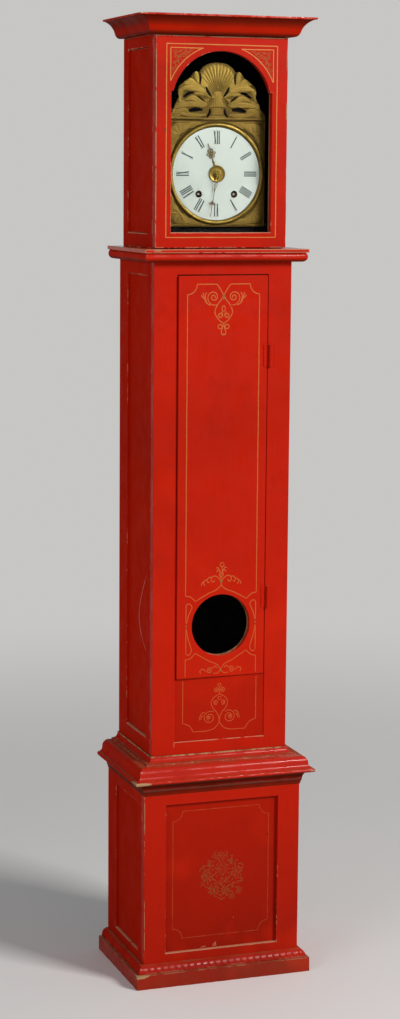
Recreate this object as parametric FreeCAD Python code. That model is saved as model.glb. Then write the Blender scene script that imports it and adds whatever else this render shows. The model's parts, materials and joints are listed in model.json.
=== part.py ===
import FreeCAD, Part
import math
import os

# A tall Nordic floor clock in a red painted pine case with a French wall movement inside.
# X runs to the right, Y to the back and Z up. The origin is the bottom centre of its box.
# All sizes are in millimetres and all angles in degrees.

# Case: overall sizes
case_depth = 272.0
trunk_width = 351.0
hood_width = 334.4
base_projection = 28.3
hood_setback = 21.0
base_height = 500.0
trunk_height = 1303.0
hood_height = 503.0
cornice_height = 45.0
board = 20.0
back_thick = 12.0
panel_thick = 8.0
side_recess = 6.0
base_clearance = 3.0

# Plinth and ripple moulding
plinth_height = 35.6
plinth_thick = 24.7
ripple_height = 20.4
ripple_depth = 16.7
chip_length = 9.0
chip_height = 13.0

# Base: front frame and sides
base_opening_width = 294.0
base_rail_bottom = 75.0
base_rail_top = 44.0
base_panel_recess = 10.0
base_side_front_stile = 31.0
base_side_rear_stile = 68.0
base_floor_level = 60.0
inner_board = 12.0

# Waist moulding between base and trunk
waist_projection = 58.9
waist_rise = 75.0
waist_drop = 17.0

# Trunk: front frame, lower panel and sides
door_opening_width = 233.0
trunk_rail_bottom = 106.0
trunk_rail_top = 53.0
lower_panel_height = 157.0
lower_panel_recess = 2.5
trunk_side_front_stile = 31.0
trunk_side_rear_stile = 63.0
trunk_side_rail_bottom = 112.0
trunk_side_rail_top = 56.0
stop_width = 10.0
stop_thick = 9.0

# Trunk door with its round window
door_gap = 1.5
door_ajar_angle = 1.5
window_height = 130.6
window_radius = 76.0
window_rebate_width = 7.0
window_rebate_depth = 8.0
window_glass_thick = 2.5

# Mouldings at the top of the trunk and the hood
roll_height = 22.0
roll_projection = 30.5
hood_floor_thick = 9.0
hood_floor_projection = 33.2
hood_floor_rim = 30.0
hood_floor_ledge = 10.0
cornice_projection = 54.3
hood_top_thick = 18.0

# Hood: sides and door
hood_side_front_stile = 40.0
hood_side_rear_stile = 36.0
hood_side_rail_bottom = 34.5
hood_side_rail_top = 28.5
hood_door_thick = 21.5
hood_door_gap = 1.5
seam_gap = 0.5
hood_glass_width = 255.0
hood_rail_bottom = 37.0
arch_springing = 332.5
arch_rise = 95.0
arch_shoulder = 5.5
rebate_width = 7.0
rebate_depth = 6.0
hood_glass_thick = 2.5
glass_clearance = 0.3
keyhole_inset = 24.1
keyhole_height = 279.7
keyhole_radius = 2.2
keyhole_drop = 8.0
lock_width = 10.5
lock_height = 42.0
lock_depth = 9.5

# Hinges
hood_hinge_radius = 2.6
hood_hinge_pin = 1.2
hood_hinge_height = 50.0
hood_hinge_low = 86.0
hood_hinge_high = 426.5
hood_leaf_thick = 1.5
hood_leaf_width = 17.0
trunk_hinge_radius = 5.0
trunk_hinge_pin = 2.2
trunk_hinge_height = 53.0
trunk_hinge_low = 195.7
trunk_hinge_high = 790.5
trunk_leaf_thick = 1.3
trunk_leaf_width = 11.0
hinge_play = 0.05
knuckle_gap = 0.3

# Movement: seat and cage
seat_block_height = 38.0
seat_block_depth = 50.0
seat_board_thick = 20.0
seat_behind_dial = 11.0
seat_behind_slot = 3.3
cage_width = 240.0
cage_behind_dial = 27.8
cage_height = 223.0
plate_thick = 3.0
pillar = 8.0
bar_thick = 4.0
bar_width = 18.0
arbor_radius = 2.2
fine_arbor_radius = 1.6
pivot_radius = 1.2
pivot_play = 0.05
rope_slot = 16.0
pendulum_slot_width = 44.0
pendulum_slot_depth = 20.0

# Dial, bezel, surround and crest
dial_height = 177.8
dial_behind_hood_front = 37.7
bezel_outer = 122.5
bezel_inner = 111.0
bezel_bulge = 5.0
bezel_thick = 2.0
enamel_thick = 1.6
enamel_dome = 3.0
winding_spacing = 90.0
winding_drop = 48.5
winding_hole = 7.5
surround_width = 250.0
surround_below = 126.6
surround_above = 127.4
surround_thick = 1.5
crest_height = 136.0
crest_thick = 6.0
dial_plate_thick = 1.5
dial_foot_radius = 2.5
dial_foot_inset = 15.0

# Hands and motion work
hand_thick = 1.2
hour_boss_radius = 20.5
hour_flower_distance = 50.0
hour_flower_radius = 11.7
hour_hand_length = 75.5
minute_boss_radius = 8.5
minute_flower_distance = 71.0
minute_flower_radius = 9.5
minute_hand_length = 104.0
hand_stem = 2.4
nut_radius = 4.5
nut_thick = 3.0
hour_hand_angle = 342.5
minute_hand_angle = 189.6
stud_radius = 1.6
cannon_radius = 3.2
hour_pipe_radius = 5.4
pipe_play = 0.1
wheel_thick = 2.0
pinion_length = 4.0
motion_distance = 25.0
motion_angle = 213.0
cannon_teeth = 12
intermediate_teeth = 36
intermediate_pinion_teeth = 10
hour_teeth = 40
layer_gap = 1.0

# Going train and striking train
drum_radius = 15.0
rope_radius = 1.25
rope_clearance = 0.3
square_half = 2.4
second_offset = 5.0
second_drop = 3.5
second_wheel_teeth = 60
third_pinion_teeth = 8
third_module = 0.8
third_offset = 18.0
third_wheel_teeth = 56
escape_pinion_teeth = 7
escape_module = 0.72
escape_teeth = 30
escape_radius = 20.0
great_teeth = 96
second_pinion_teeth = 6
transfer_teeth = 40
strike_great_teeth = 80
pin_pinion_teeth = 8
pin_wheel_teeth = 64
fly_pinion_teeth = 8
fly_module = 0.8
fly_offset = 8.0
fly_height = 26.0
fly_length = 22.0
pin_count = 8
pin_radius = 1.0
pin_length = 7.0
pallet_clearance = 1.3
anchor_arm = 4.0

# Pendulum
pendulum_length = 994.0
pendulum_gap = 22.0
rod_radius = 3.0
bob_radius = 85.0
bob_thick = 30.0
bob_rim = 4.0
eye_radius = 5.0
cock_width = 12.0
cock_thick = 4.0
crutch_length = 62.0
crutch_width = 5.0
crutch_thick = 2.0
rating_nut_radius = 9.0
rating_nut_height = 8.0

# Weights and ropes
weight_radius = 35.0
weight_height = 150.0
weight_rest_level = 1480.0
weight_shoulder = 10.0
hook_height = 20.0
hook_radius = 4.0

# Bell and hammer
bell_radius = 58.0
bell_height = 46.0
bell_wall = 3.0
bell_lift = 34.0
bell_post_radius = 4.0
hammer_radius = 8.0
hammer_length = 26.0
hammer_arbor_radius = 3.0
hammer_rest_gap = 1.5

# One overrun serves all cuts
overrun = 10.0

# Shares of the depth: the pendulum between bars and back, the drums and the hammer in the cage
pendulum_depth_share = 0.75
drum_front_share = 0.26
drum_length_share = 0.407
hammer_arm_share = 0.407

# Places worked out from the sizes
half_trunk = trunk_width / 2
half_hood = hood_width / 2
half_base = half_trunk + base_projection
y_back = (case_depth + waist_projection) / 2
y_trunk = y_back - case_depth
y_base = y_trunk - base_projection
y_hood = y_trunk + hood_setback
y_inner_back = y_back - back_thick
z_trunk_top = base_height + trunk_height
z_hood = z_trunk_top + hood_floor_thick
z_hood_top = z_hood + hood_height
z_dial = z_hood + dial_height
y_dial = y_hood + dial_behind_hood_front
y_seam = y_hood + hood_door_thick
half_opening = door_opening_width / 2
z_lower_panel = base_height + trunk_rail_bottom
z_door = z_lower_panel + lower_panel_height
z_door_top = z_trunk_top - trunk_rail_top
z_window = z_door + window_height
y_bars = y_dial + cage_behind_dial
y_pendulum = y_bars + (y_inner_back - y_bars) * pendulum_depth_share
cage_depth = y_pendulum - pendulum_gap - y_bars
y_bars_back = y_bars + cage_depth - bar_thick
z_cage = z_hood + seat_block_height + seat_board_thick
z_cage_top = z_cage + cage_height
half_cage = cage_width / 2
x_wind = winding_spacing / 2
z_wind = z_dial - winding_drop
y_drum = y_bars + cage_depth * drum_front_share
drum_length = cage_depth * drum_length_share
wound_radius = drum_radius + 2 * rope_radius
x_rope = x_wind + wound_radius + rope_clearance + rope_radius
y_rope = y_drum + drum_length / 2

# Profiles as shares of each moulding's projection and height, from the wall outwards
# A point given as three pairs is an arc: start comes before it, then a middle and an end
waist_profile_shares = [
    (0.000, 1.000), (0.068, 1.000), (0.068, 0.967), ((0.13, 0.875), (0.288, 0.837)),
    (0.340, 0.837), (0.340, 0.795), (0.407, 0.795), ((0.705, 0.725), (0.764, 0.598)),
    (0.764, 0.576), ((0.825, 0.503), (0.951, 0.467)), ((1.000, 0.418), (0.951, 0.370)),
    (0.645, 0.370), (0.645, 0.305), ((0.585, 0.235), (0.560, 0.152)), (0.560, 0.130),
    ((0.520, 0.065), (0.4975, 0.000)),
]
cornice_profile_shares = [
    (0.000, 0.000), (0.313, 0.000), ((0.455, 0.055), (0.497, 0.180)), (0.497, 0.240),
    ((0.610, 0.600), (0.930, 0.850)), (1.000, 0.850), (1.000, 1.000), (0.000, 1.000),
]
roll_profile_shares = [
    (0.000, 0.000), (0.690, 0.000), ((1.000, 0.480), (0.850, 1.000)), (0.000, 1.000),
]
ripple_profile_shares = [
    (0.000, 0.000), (1.000, 0.000), (1.000, 0.210), ((0.760, 0.720), (0.120, 1.000)), (0.000, 1.000),
]
# Half outline of the brass crest from its middle top, as shares of half its width and its height
crest_outline_shares = [
    (0.00, 1.00), (0.20, 0.98), (0.34, 0.88), (0.37, 0.74), (0.47, 0.86), (0.56, 0.74),
    (0.52, 0.60), (0.70, 0.63), (0.81, 0.52), (0.76, 0.38), (0.86, 0.30), (0.90, 0.18),
    (0.99, 0.13), (0.99, 0.00),
]
tooth_root_share = 1.15
tooth_tip_share = 0.75
pinion_tip_share = 0.60
tooth_foot_share = 0.22
tooth_crown_share = 0.10
rim_share = 0.82
hub_share = 0.24
spoke_share = 0.09
pallet_span_share = 0.25


def box(x0, x1, y0, y1, z0, z1):
    """Return a box between three pairs of limits."""
    corner = FreeCAD.Vector(min(x0, x1), min(y0, y1), min(z0, z1))
    return Part.makeBox(abs(x1 - x0), abs(y1 - y0), abs(z1 - z0), corner)


def rod_y(x, z, radius, y0, y1):
    """Return a cylinder along Y."""
    base = FreeCAD.Vector(x, min(y0, y1), z)
    return Part.makeCylinder(radius, abs(y1 - y0), base, FreeCAD.Vector(0, 1, 0))


def rod_z(x, y, radius, z0, z1):
    """Return a cylinder along Z."""
    base = FreeCAD.Vector(x, y, min(z0, z1))
    return Part.makeCylinder(radius, abs(z1 - z0), base, FreeCAD.Vector(0, 0, 1))


def fuse(*shapes):
    """Join overlapping shapes into one solid."""
    joined = shapes[0]
    if len(shapes) > 1:
        joined = joined.multiFuse(list(shapes[1:]))
    return joined.removeSplitter()


def cut(shape, *tools):
    """Take the tools away from the shape."""
    for tool in tools:
        shape = shape.cut(tool)
    return shape


def group(*pieces):
    """Put several separate pieces in one node."""
    flat = []
    for piece in pieces:
        flat.extend(piece.Solids)
    return Part.makeCompound(flat)


def mirrored(shape):
    """Return the shape mirrored to the other side of the case."""
    return shape.mirror(FreeCAD.Vector(0, 0, 0), FreeCAD.Vector(1, 0, 0))


def outline_edges(points):
    """Join points with lines, and with an arc where a point holds a middle and an end."""
    edges = []
    start = points[0]
    for item in points[1:] + [points[0]]:
        if isinstance(item, tuple):
            middle, end = item
            edges.append(Part.Arc(start, middle, end).toShape())
        else:
            end = item
            if (end - start).Length > 0:
                edges.append(Part.makeLine(start, end))
        start = end
    return edges


def moulding(shares, depth, height, half_width, y_face, z0, extra=None):
    """Return three mitred lengths, front, left and right, of a moulding round a box of boards."""
    def section(place):
        points = []
        for item in shares + (extra or []):
            if isinstance(item[0], tuple):
                points.append((place(*item[0]), place(*item[1])))
            else:
                points.append(place(*item))
        return Part.Face(Part.Wire(outline_edges(points)))

    reach = half_width + depth
    front = section(lambda p, h: FreeCAD.Vector(-reach, y_face - p * depth, z0 + h * height))
    front = front.extrude(FreeCAD.Vector(2 * reach, 0, 0))
    side = section(lambda p, h: FreeCAD.Vector(half_width + p * depth, y_face - depth, z0 + h * height))
    side = side.extrude(FreeCAD.Vector(0, y_back - y_face + depth, 0))

    inset = half_width - overrun
    front_room = prism([(-inset, y_face + overrun), (inset, y_face + overrun),
                        (reach, y_face - depth), (-reach, y_face - depth)], z0, z0 + height)
    side_room = prism([(inset, y_face + overrun), (reach, y_face - depth),
                       (reach, y_back), (inset, y_back)], z0, z0 + height)
    right = side.common(side_room)
    return group(front.common(front_room), mirrored(right), right)


def prism(corners, z0, z1):
    """Return an upright prism over corners given as X and Y."""
    points = [FreeCAD.Vector(x, y, z0) for x, y in corners]
    wire = Part.makePolygon(points + points[:1])
    return Part.Face(wire).extrude(FreeCAD.Vector(0, 0, z1 - z0))


def slab_y(corners, y0, y1):
    """Return a slab along Y over corners given as X and Z."""
    points = [FreeCAD.Vector(x, y0, z) for x, z in corners]
    wire = Part.makePolygon(points + points[:1])
    return Part.Face(wire).extrude(FreeCAD.Vector(0, y1 - y0, 0))


def turned(shape, x, y, angle):
    """Return the shape turned about an upright line."""
    copy = shape.copy()
    copy.rotate(FreeCAD.Vector(x, y, 0), FreeCAD.Vector(0, 0, 1), angle)
    return copy


def clock_turned(shape, x, z, angle):
    """Return the shape turned clockwise, as seen from the front, about a line along Y."""
    copy = shape.copy()
    copy.rotate(FreeCAD.Vector(x, 0, z), FreeCAD.Vector(0, 1, 0), angle)
    return copy


def revolved_y(points, x, z):
    """Revolve an outline, given as radius and Y, about a line along Y."""
    placed = []
    for item in points:
        if isinstance(item[0], tuple):
            placed.append((FreeCAD.Vector(x + item[0][0], item[0][1], z),
                           FreeCAD.Vector(x + item[1][0], item[1][1], z)))
        else:
            placed.append(FreeCAD.Vector(x + item[0], item[1], z))
    face = Part.Face(Part.Wire(outline_edges(placed)))
    return face.revolve(FreeCAD.Vector(x, 0, z), FreeCAD.Vector(0, 1, 0), 360)


# Base and plinth

def plinth_skirting():
    """Three skirting boards round the foot, mitred, with a corner knocked off at the front left."""
    square_shares = [(0, 0), (1, 0), (1, 1), (0, 1)]
    boards = moulding(square_shares, plinth_thick, plinth_height, half_base, y_base, 0)
    x = -half_base - plinth_thick
    y = y_base - plinth_thick
    corner = [FreeCAD.Vector(x - overrun, y - overrun, plinth_height + overrun),
              FreeCAD.Vector(x + chip_length + overrun, y - overrun, plinth_height + overrun),
              FreeCAD.Vector(x - overrun, y + chip_length + overrun, plinth_height + overrun)]
    top = Part.Face(Part.makePolygon(corner + corner[:1]))
    chip = top.extrude(FreeCAD.Vector(-chip_length, -chip_length, -chip_height - overrun))
    return group(*[cut(solid, chip) for solid in boards.Solids])


def ripple_moulding():
    """The small strip on top of the skirting."""
    return moulding(ripple_profile_shares, ripple_depth, ripple_height, half_base, y_base, plinth_height)


def base_front_frame():
    """Two stiles and two rails round the sunk front panel."""
    y1 = y_base + board
    half = base_opening_width / 2
    low = base_clearance
    left = box(-half_base, -half, y_base, y1, low, base_height)
    bottom = box(-half, half, y_base, y1, low, low + base_rail_bottom)
    top = box(-half, half, y_base, y1, base_height - base_rail_top, base_height)
    return group(left, mirrored(left), bottom, top)


def base_front_panel():
    """The thin panel in the base's front frame."""
    half = base_opening_width / 2
    y0 = y_base + base_panel_recess
    low = base_clearance + base_rail_bottom
    return box(-half, half, y0, y0 + panel_thick, low, base_height - base_rail_top)


def side_wall(x_out, y0, z0, z1, front_stile, rear_stile, bottom_rail, top_rail):
    """A framed side on the right, with a panel sunk from outside."""
    x_in = x_out - board
    y1 = y0 + front_stile
    y2 = y_back - rear_stile
    z_low = z0 + bottom_rail
    z_high = z1 - top_rail
    front = box(x_in, x_out, y0, y1, z0, z1)
    rear = box(x_in, x_out, y2, y_back, z0, z1)
    bottom = box(x_in, x_out, y1, y2, z0, z_low)
    top = box(x_in, x_out, y1, y2, z_high, z1)
    x_panel = x_out - side_recess
    panel = box(x_panel - panel_thick, x_panel, y1, y2, z_low, z_high)
    return group(front, rear, bottom, top, panel)


def base_side():
    """The base's right side."""
    return side_wall(half_base, y_base + board, base_clearance, base_height,
                     base_side_front_stile, base_side_rear_stile, base_rail_bottom, base_rail_top)


def base_inner_boards():
    """The base's floor, and the open shelf under the trunk."""
    half = half_base - board
    y0 = y_base + board
    floor = box(-half, half, y0, y_inner_back, base_floor_level, base_floor_level + inner_board)
    shelf = box(-half, half, y0, y_inner_back, base_height - inner_board, base_height)
    half_hole = half_trunk - board
    hole = box(-half_hole, half_hole, y_trunk + board, y_inner_back + overrun,
               base_height - inner_board - overrun, base_height + overrun)
    return group(floor, cut(shelf, hole))


def waist_moulding():
    """The stepped moulding that runs from the trunk out over the base."""
    height = waist_rise + waist_drop
    seat_shares = [(base_projection / waist_projection, 0.0),
                   (base_projection / waist_projection, waist_drop / height),
                   (0.0, waist_drop / height)]
    return moulding(waist_profile_shares, waist_projection, height, half_trunk, y_trunk,
                    base_height - waist_drop, seat_shares)


# Trunk

def trunk_front_frame():
    """Two stiles, two rails and the stop strip behind the door's free edge."""
    y1 = y_trunk + board
    left = box(-half_trunk, -half_opening, y_trunk, y1, base_height, z_trunk_top)
    bottom = box(-half_opening, half_opening, y_trunk, y1, base_height, z_lower_panel)
    top = box(-half_opening, half_opening, y_trunk, y1, z_door_top, z_trunk_top)
    y_stop = y1 + knuckle_gap
    stop = box(-half_trunk + board, -half_opening + stop_width,
               y_stop, y_stop + stop_thick, z_door, z_door_top)
    pad = box(-half_trunk + board, -half_opening, y1, y_stop, z_door, z_door_top)
    return group(left, mirrored(left), bottom, top, fuse(stop, pad))


def trunk_lower_panel():
    """The fixed panel under the door."""
    y0 = y_trunk + lower_panel_recess
    return box(-half_opening, half_opening, y0, y_trunk + board, z_lower_panel, z_door)


def trunk_side():
    """The trunk's right side."""
    return side_wall(half_trunk, y_trunk + board, base_height, z_trunk_top, trunk_side_front_stile,
                     trunk_side_rear_stile, trunk_side_rail_bottom, trunk_side_rail_top)


def back_boards():
    """Three boards between the sides, for base, trunk and hood."""
    base = box(board - half_base, half_base - board, y_inner_back, y_back, base_clearance, base_height)
    trunk = box(board - half_trunk, half_trunk - board, y_inner_back, y_back, base_height, z_trunk_top)
    hood = box(board - half_hood, half_hood - board, y_inner_back, y_back, z_hood, z_hood_top)
    return group(base, trunk, hood)


def trunk_axis():
    """Where the trunk door's hinge line stands."""
    return half_opening + trunk_hinge_radius, y_trunk - trunk_hinge_radius - knuckle_gap


def ajar(shape):
    """Turn a piece of the trunk door from shut to the angle at which it stands."""
    x, y = trunk_axis()
    return turned(shape, x, y, door_ajar_angle)


def trunk_door():
    """The long door with a round window, rebated from behind for the glass."""
    half = half_opening - door_gap
    y1 = y_trunk + board
    leaf = box(-half, half, y_trunk, y1, z_door + door_gap, z_door_top - door_gap)
    hole = rod_y(0, z_window, window_radius, y_trunk - overrun, y1 + overrun)
    rebate = rod_y(0, z_window, window_radius + window_rebate_width, y1 - window_rebate_depth, y1 + overrun)
    return ajar(cut(leaf, hole, rebate))


def porthole_glass():
    """The round pane in the door's rebate."""
    y1 = y_trunk + board - window_rebate_depth
    radius = window_radius + window_rebate_width - glass_clearance
    return ajar(rod_y(0, z_window, radius, y1, y1 + window_glass_thick))


def porthole_retainer():
    """The wooden ring that holds the round pane."""
    y0 = y_trunk + board - window_rebate_depth + window_glass_thick
    y1 = y_trunk + board
    radius = window_radius + window_rebate_width - glass_clearance
    ring = rod_y(0, z_window, radius, y0, y1)
    return ajar(cut(ring, rod_y(0, z_window, window_radius, y0 - overrun, y1 + overrun)))


def hinge(x, y, z0, height, radius, pin_radius, fixed_leaf, moving_leaf):
    """Return the fixed and the moving half of a three-knuckle hinge on an upright line."""
    third = (height - 2 * knuckle_gap) / 3
    z1 = z0 + third
    z2 = z1 + knuckle_gap
    z3 = z2 + third
    z4 = z3 + knuckle_gap
    z5 = z0 + height
    swept = radius + knuckle_gap
    pin = rod_z(x, y, pin_radius, z0, z5)
    fixed_plate = cut(fixed_leaf, rod_z(x, y, swept, z1, z4))
    fixed = fuse(rod_z(x, y, radius, z0, z1), rod_z(x, y, radius, z4, z5), pin, fixed_plate)
    moving_plate = cut(moving_leaf, rod_z(x, y, swept, z0 - overrun, z2),
                       rod_z(x, y, swept, z3, z5 + overrun))
    moving = fuse(rod_z(x, y, radius, z2, z3), moving_plate)
    bore = rod_z(x, y, pin_radius + hinge_play, z0 - overrun, z5 + overrun)
    return fixed, cut(moving, bore)


def trunk_hinges():
    """Both trunk door hinges: their fixed halves, and their moving halves turned with the door."""
    x, y = trunk_axis()
    fixed_halves = []
    moving_halves = []
    for low in (trunk_hinge_low, trunk_hinge_high):
        z0 = z_door + low - trunk_hinge_height / 2
        z1 = z0 + trunk_hinge_height
        fixed_leaf = box(x, x + trunk_leaf_width, y_trunk - trunk_leaf_thick, y_trunk, z0, z1)
        y_leaf = y_trunk - knuckle_gap
        x_leaf = x - trunk_leaf_width - trunk_hinge_radius
        moving_leaf = box(x_leaf, x, y_leaf - trunk_leaf_thick, y_leaf, z0, z1)
        fixed, moving = hinge(x, y, z0, trunk_hinge_height, trunk_hinge_radius, trunk_hinge_pin,
                              fixed_leaf, moving_leaf)
        fixed_halves.append(fixed)
        moving_halves.append(ajar(moving))
    return group(*fixed_halves), group(*moving_halves)


def mid_moulding():
    """The roll under the hood's floor board."""
    z0 = z_trunk_top - roll_height
    return moulding(roll_profile_shares, roll_projection, roll_height, half_trunk, y_trunk, z0)


# Hood

def hood_floor_board():
    """The board with a projecting edge on which the hood stands, open over the trunk."""
    half = half_trunk + hood_floor_projection
    plate = box(-half, half, y_trunk - hood_floor_projection, y_back, z_trunk_top, z_hood)
    half_hole = half_hood - board - hood_floor_ledge
    hole = box(-half_hole, half_hole, y_trunk + board + hood_floor_rim, y_inner_back - hood_floor_rim,
               z_trunk_top - overrun, z_hood + overrun)
    return cut(plate, hole)


def hood_side():
    """The hood's right side."""
    return side_wall(half_hood, y_seam + seam_gap, z_hood, z_hood_top, hood_side_front_stile,
                     hood_side_rear_stile, hood_side_rail_bottom, hood_side_rail_top)


def hood_top_board():
    """The board that closes the hood and carries the cornice."""
    return box(-half_hood, half_hood, y_hood, y_back, z_hood_top, z_hood_top + hood_top_thick)


def cornice():
    """The hollow moulding round the top."""
    return moulding(cornice_profile_shares, cornice_projection, cornice_height,
                    half_hood, y_hood, z_hood_top)


def hood_door_frame():
    """Two stiles, a bottom rail, an arched head and the beads behind the glass."""
    z0 = z_hood + hood_door_gap
    z1 = z_hood_top - hood_door_gap
    half = hood_glass_width / 2
    z_sill = z_hood + hood_rail_bottom + hood_door_gap
    z_spring = z_sill + arch_springing
    left = box(-half_hood, -half, y_hood, y_seam, z0, z1)
    right = mirrored(left)
    bottom = box(-half, half, y_hood, y_seam, z0, z_sill)
    head = cut(box(-half, half, y_hood, y_seam, z_spring, z1), arch(y_hood - overrun, y_seam + overrun))
    y_rebate = y_seam - rebate_depth
    rebate = glass_room(y_rebate, y_seam + overrun, 0)
    x_key = -half_hood + keyhole_inset
    z_key = z_hood + keyhole_height + hood_door_gap
    keyhole = fuse(rod_y(x_key, z_key, keyhole_radius, y_hood - overrun, y_seam + overrun),
                   box(x_key - keyhole_radius / 2, x_key + keyhole_radius / 2, y_hood - overrun,
                       y_seam + overrun, z_key - keyhole_drop, z_key))
    boards = [cut(piece, rebate) for piece in (left, right, bottom, head)]
    boards[0] = cut(boards[0], keyhole)
    y_bead = y_rebate + hood_glass_thick
    strip = cut(glass_room(y_bead, y_seam, glass_clearance),
                glass_room(y_bead - overrun, y_seam + overrun, rebate_width))
    return group(*boards, strip)


def arch(y0, y1):
    """The room under the door's arch, down to its springing line."""
    half = hood_glass_width / 2 - arch_shoulder
    z_spring = z_hood + hood_rail_bottom + hood_door_gap + arch_springing
    start = FreeCAD.Vector(-half, y0, z_spring)
    middle = FreeCAD.Vector(0, y0, z_spring + arch_rise)
    end = FreeCAD.Vector(half, y0, z_spring)
    wire = Part.Wire([Part.Arc(start, middle, end).toShape(), Part.makeLine(end, start)])
    return Part.Face(wire).extrude(FreeCAD.Vector(0, y1 - y0, 0))


def glass_room(y0, y1, inset):
    """The rectangle that the hood door's glass fills, drawn in by an inset."""
    half = hood_glass_width / 2 + rebate_width - inset
    z_sill = z_hood + hood_rail_bottom + hood_door_gap
    z_low = z_sill - rebate_width + inset
    z_high = z_sill + arch_springing + arch_rise + rebate_width - inset
    return box(-half, half, y0, y1, z_low, z_high)


def hood_door_glass():
    """The pane behind the arched opening."""
    y0 = y_seam - rebate_depth
    return glass_room(y0, y0 + hood_glass_thick, glass_clearance)


def hood_door_lock():
    """The small lock case on the back of the door's left stile."""
    x0 = -half_hood + board + seam_gap
    z_key = z_hood + keyhole_height + hood_door_gap
    return box(x0, x0 + lock_width, y_seam, y_seam + lock_depth,
               z_key - lock_height / 2, z_key + lock_height / 2)


def hood_axis():
    """Where the hood door's hinge line stands."""
    return half_hood + hood_hinge_radius + knuckle_gap, y_seam + seam_gap / 2


def hood_hinges():
    """Both hood door hinges, on the right-hand outside of the hood."""
    x, y = hood_axis()
    fixed_halves = []
    moving_halves = []
    x1 = half_hood + hood_leaf_thick
    for low in (hood_hinge_low, hood_hinge_high):
        z0 = z_hood + low - hood_hinge_height / 2
        z1 = z0 + hood_hinge_height
        fixed_leaf = box(half_hood, x1, y_seam + seam_gap, y_seam + seam_gap + hood_leaf_width, z0, z1)
        moving_leaf = box(half_hood, x1, y_seam - hood_leaf_width, y_seam, z0, z1)
        fixed, moving = hinge(x, y, z0, hood_hinge_height, hood_hinge_radius, hood_hinge_pin,
                              fixed_leaf, moving_leaf)
        fixed_halves.append(fixed)
        moving_halves.append(moving)
    return group(*fixed_halves), group(*moving_halves)


# Movement: seat, frame and dial

def movement_seat():
    """Two blocks and the seat board, with slots for the ropes and the pendulum."""
    half = half_hood - board
    y0 = y_dial + seat_behind_dial
    z0 = z_hood + seat_block_height
    y1 = y_pendulum + pendulum_slot_depth / 2 + seat_behind_slot
    plate = box(-half, half, y0, y1, z0, z0 + seat_board_thick)
    low = z0 - overrun
    high = z0 + seat_board_thick + overrun
    for side in (-1, 1):
        x = side * x_rope
        plate = cut(plate, box(x - rope_slot / 2, x + rope_slot / 2, y_rope - rope_slot / 2,
                               y_rope + rope_slot / 2, low, high))
    y2 = y_pendulum - pendulum_slot_depth / 2
    y3 = y_pendulum + pendulum_slot_depth / 2
    plate = cut(plate, box(-pendulum_slot_width / 2, pendulum_slot_width / 2, y2, y3, low, high))
    y4 = y_rope - seat_block_depth / 2
    block = box(half - seat_board_thick, half, y4, y4 + seat_block_depth, z_hood, z0)
    return group(plate, block, mirrored(block))


def arbor_places():
    """Where each arbor stands, by name, as X and Z."""
    places = {}
    places["centre"] = (0, z_dial)
    places["time_drum"] = (x_wind, z_wind)
    places["strike_drum"] = (-x_wind, z_wind)
    places["second"] = (x_wind - second_offset, z_dial - second_drop)
    places["pin_wheel"] = (second_offset - x_wind, z_dial - second_drop)
    reach = third_module * (second_wheel_teeth + third_pinion_teeth) / 2
    run = places["second"][0] - third_offset
    places["third"] = (third_offset, places["second"][1] + math.sqrt(reach ** 2 - run ** 2))
    reach = escape_module * (third_wheel_teeth + escape_pinion_teeth) / 2
    rise = math.sqrt(reach ** 2 - third_offset ** 2)
    places["escape"] = (0, places["third"][1] + rise)
    drop = escape_radius / math.cos(math.pi * pallet_span_share)
    places["anchor"] = (0, places["escape"][1] + drop)
    reach = fly_module * (pin_wheel_teeth + fly_pinion_teeth) / 2
    rise = math.sqrt(reach ** 2 - fly_offset ** 2)
    places["fly"] = (places["pin_wheel"][0] - fly_offset, places["pin_wheel"][1] + rise)
    angle = math.radians(motion_angle)
    places["minute_wheel"] = (motion_distance * math.cos(angle), z_dial + motion_distance * math.sin(angle))
    return places


def distance(places, one, other):
    """The distance between two arbors."""
    x0, z0 = places[one]
    x1, z1 = places[other]
    return math.hypot(x1 - x0, z1 - z0)


def direction(places, one, other):
    """The angle from one arbor to another, in radians from +X towards +Z."""
    x0, z0 = places[one]
    x1, z1 = places[other]
    return math.atan2(z1 - z0, x1 - x0)


def meshed_phase(angle, phase, teeth, other_teeth):
    """The phase of the second wheel whose gaps meet the first wheel's teeth."""
    share = (angle - phase) * teeth / (2 * math.pi)
    return angle + math.pi - (0.5 - share) * 2 * math.pi / other_teeth


def gear(place, teeth, module, y0, y1, phase=0.0, tip_share=tooth_tip_share):
    """A toothed disc on a line along Y."""
    x, z = place
    radius = teeth * module / 2
    root = radius - tooth_root_share * module
    tip = radius + tip_share * module
    pitch = 2 * math.pi / teeth
    corners = []
    for index in range(teeth):
        middle = phase + index * pitch
        for turn_share, reach in ((-tooth_foot_share, root), (-tooth_crown_share, tip),
                                  (tooth_crown_share, tip), (tooth_foot_share, root)):
            angle = middle + turn_share * pitch
            corners.append((x + reach * math.cos(angle), z + reach * math.sin(angle)))
    return slab_y(corners, y0, y1)


def crossed(disc, place, radius, y0, y1, spokes=4):
    """Cut the openings between the spokes of a wheel."""
    x, z = place
    window = rod_y(x, z, radius * rim_share, y0 - overrun, y1 + overrun)
    window = cut(window, rod_y(x, z, radius * hub_share, y0 - 2 * overrun, y1 + 2 * overrun))
    half = radius * spoke_share
    for index in range(spokes):
        spoke = box(x - half, x + half, y0 - 2 * overrun, y1 + 2 * overrun, z, z + radius)
        window = cut(window, clock_turned(spoke, x, z, index * 360 / spokes))
    return cut(disc, window)


def arbor(place):
    """A fine steel arbor with a thinner pivot at each end, between the bars."""
    x, z = place
    y0 = y_bars + bar_thick + layer_gap
    y1 = y_bars_back - layer_gap
    body = rod_y(x, z, fine_arbor_radius, y0, y1)
    front = rod_y(x, z, pivot_radius, y_bars, y0)
    back = rod_y(x, z, pivot_radius, y1, y_bars_back + bar_thick)
    return fuse(body, front, back)


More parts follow.
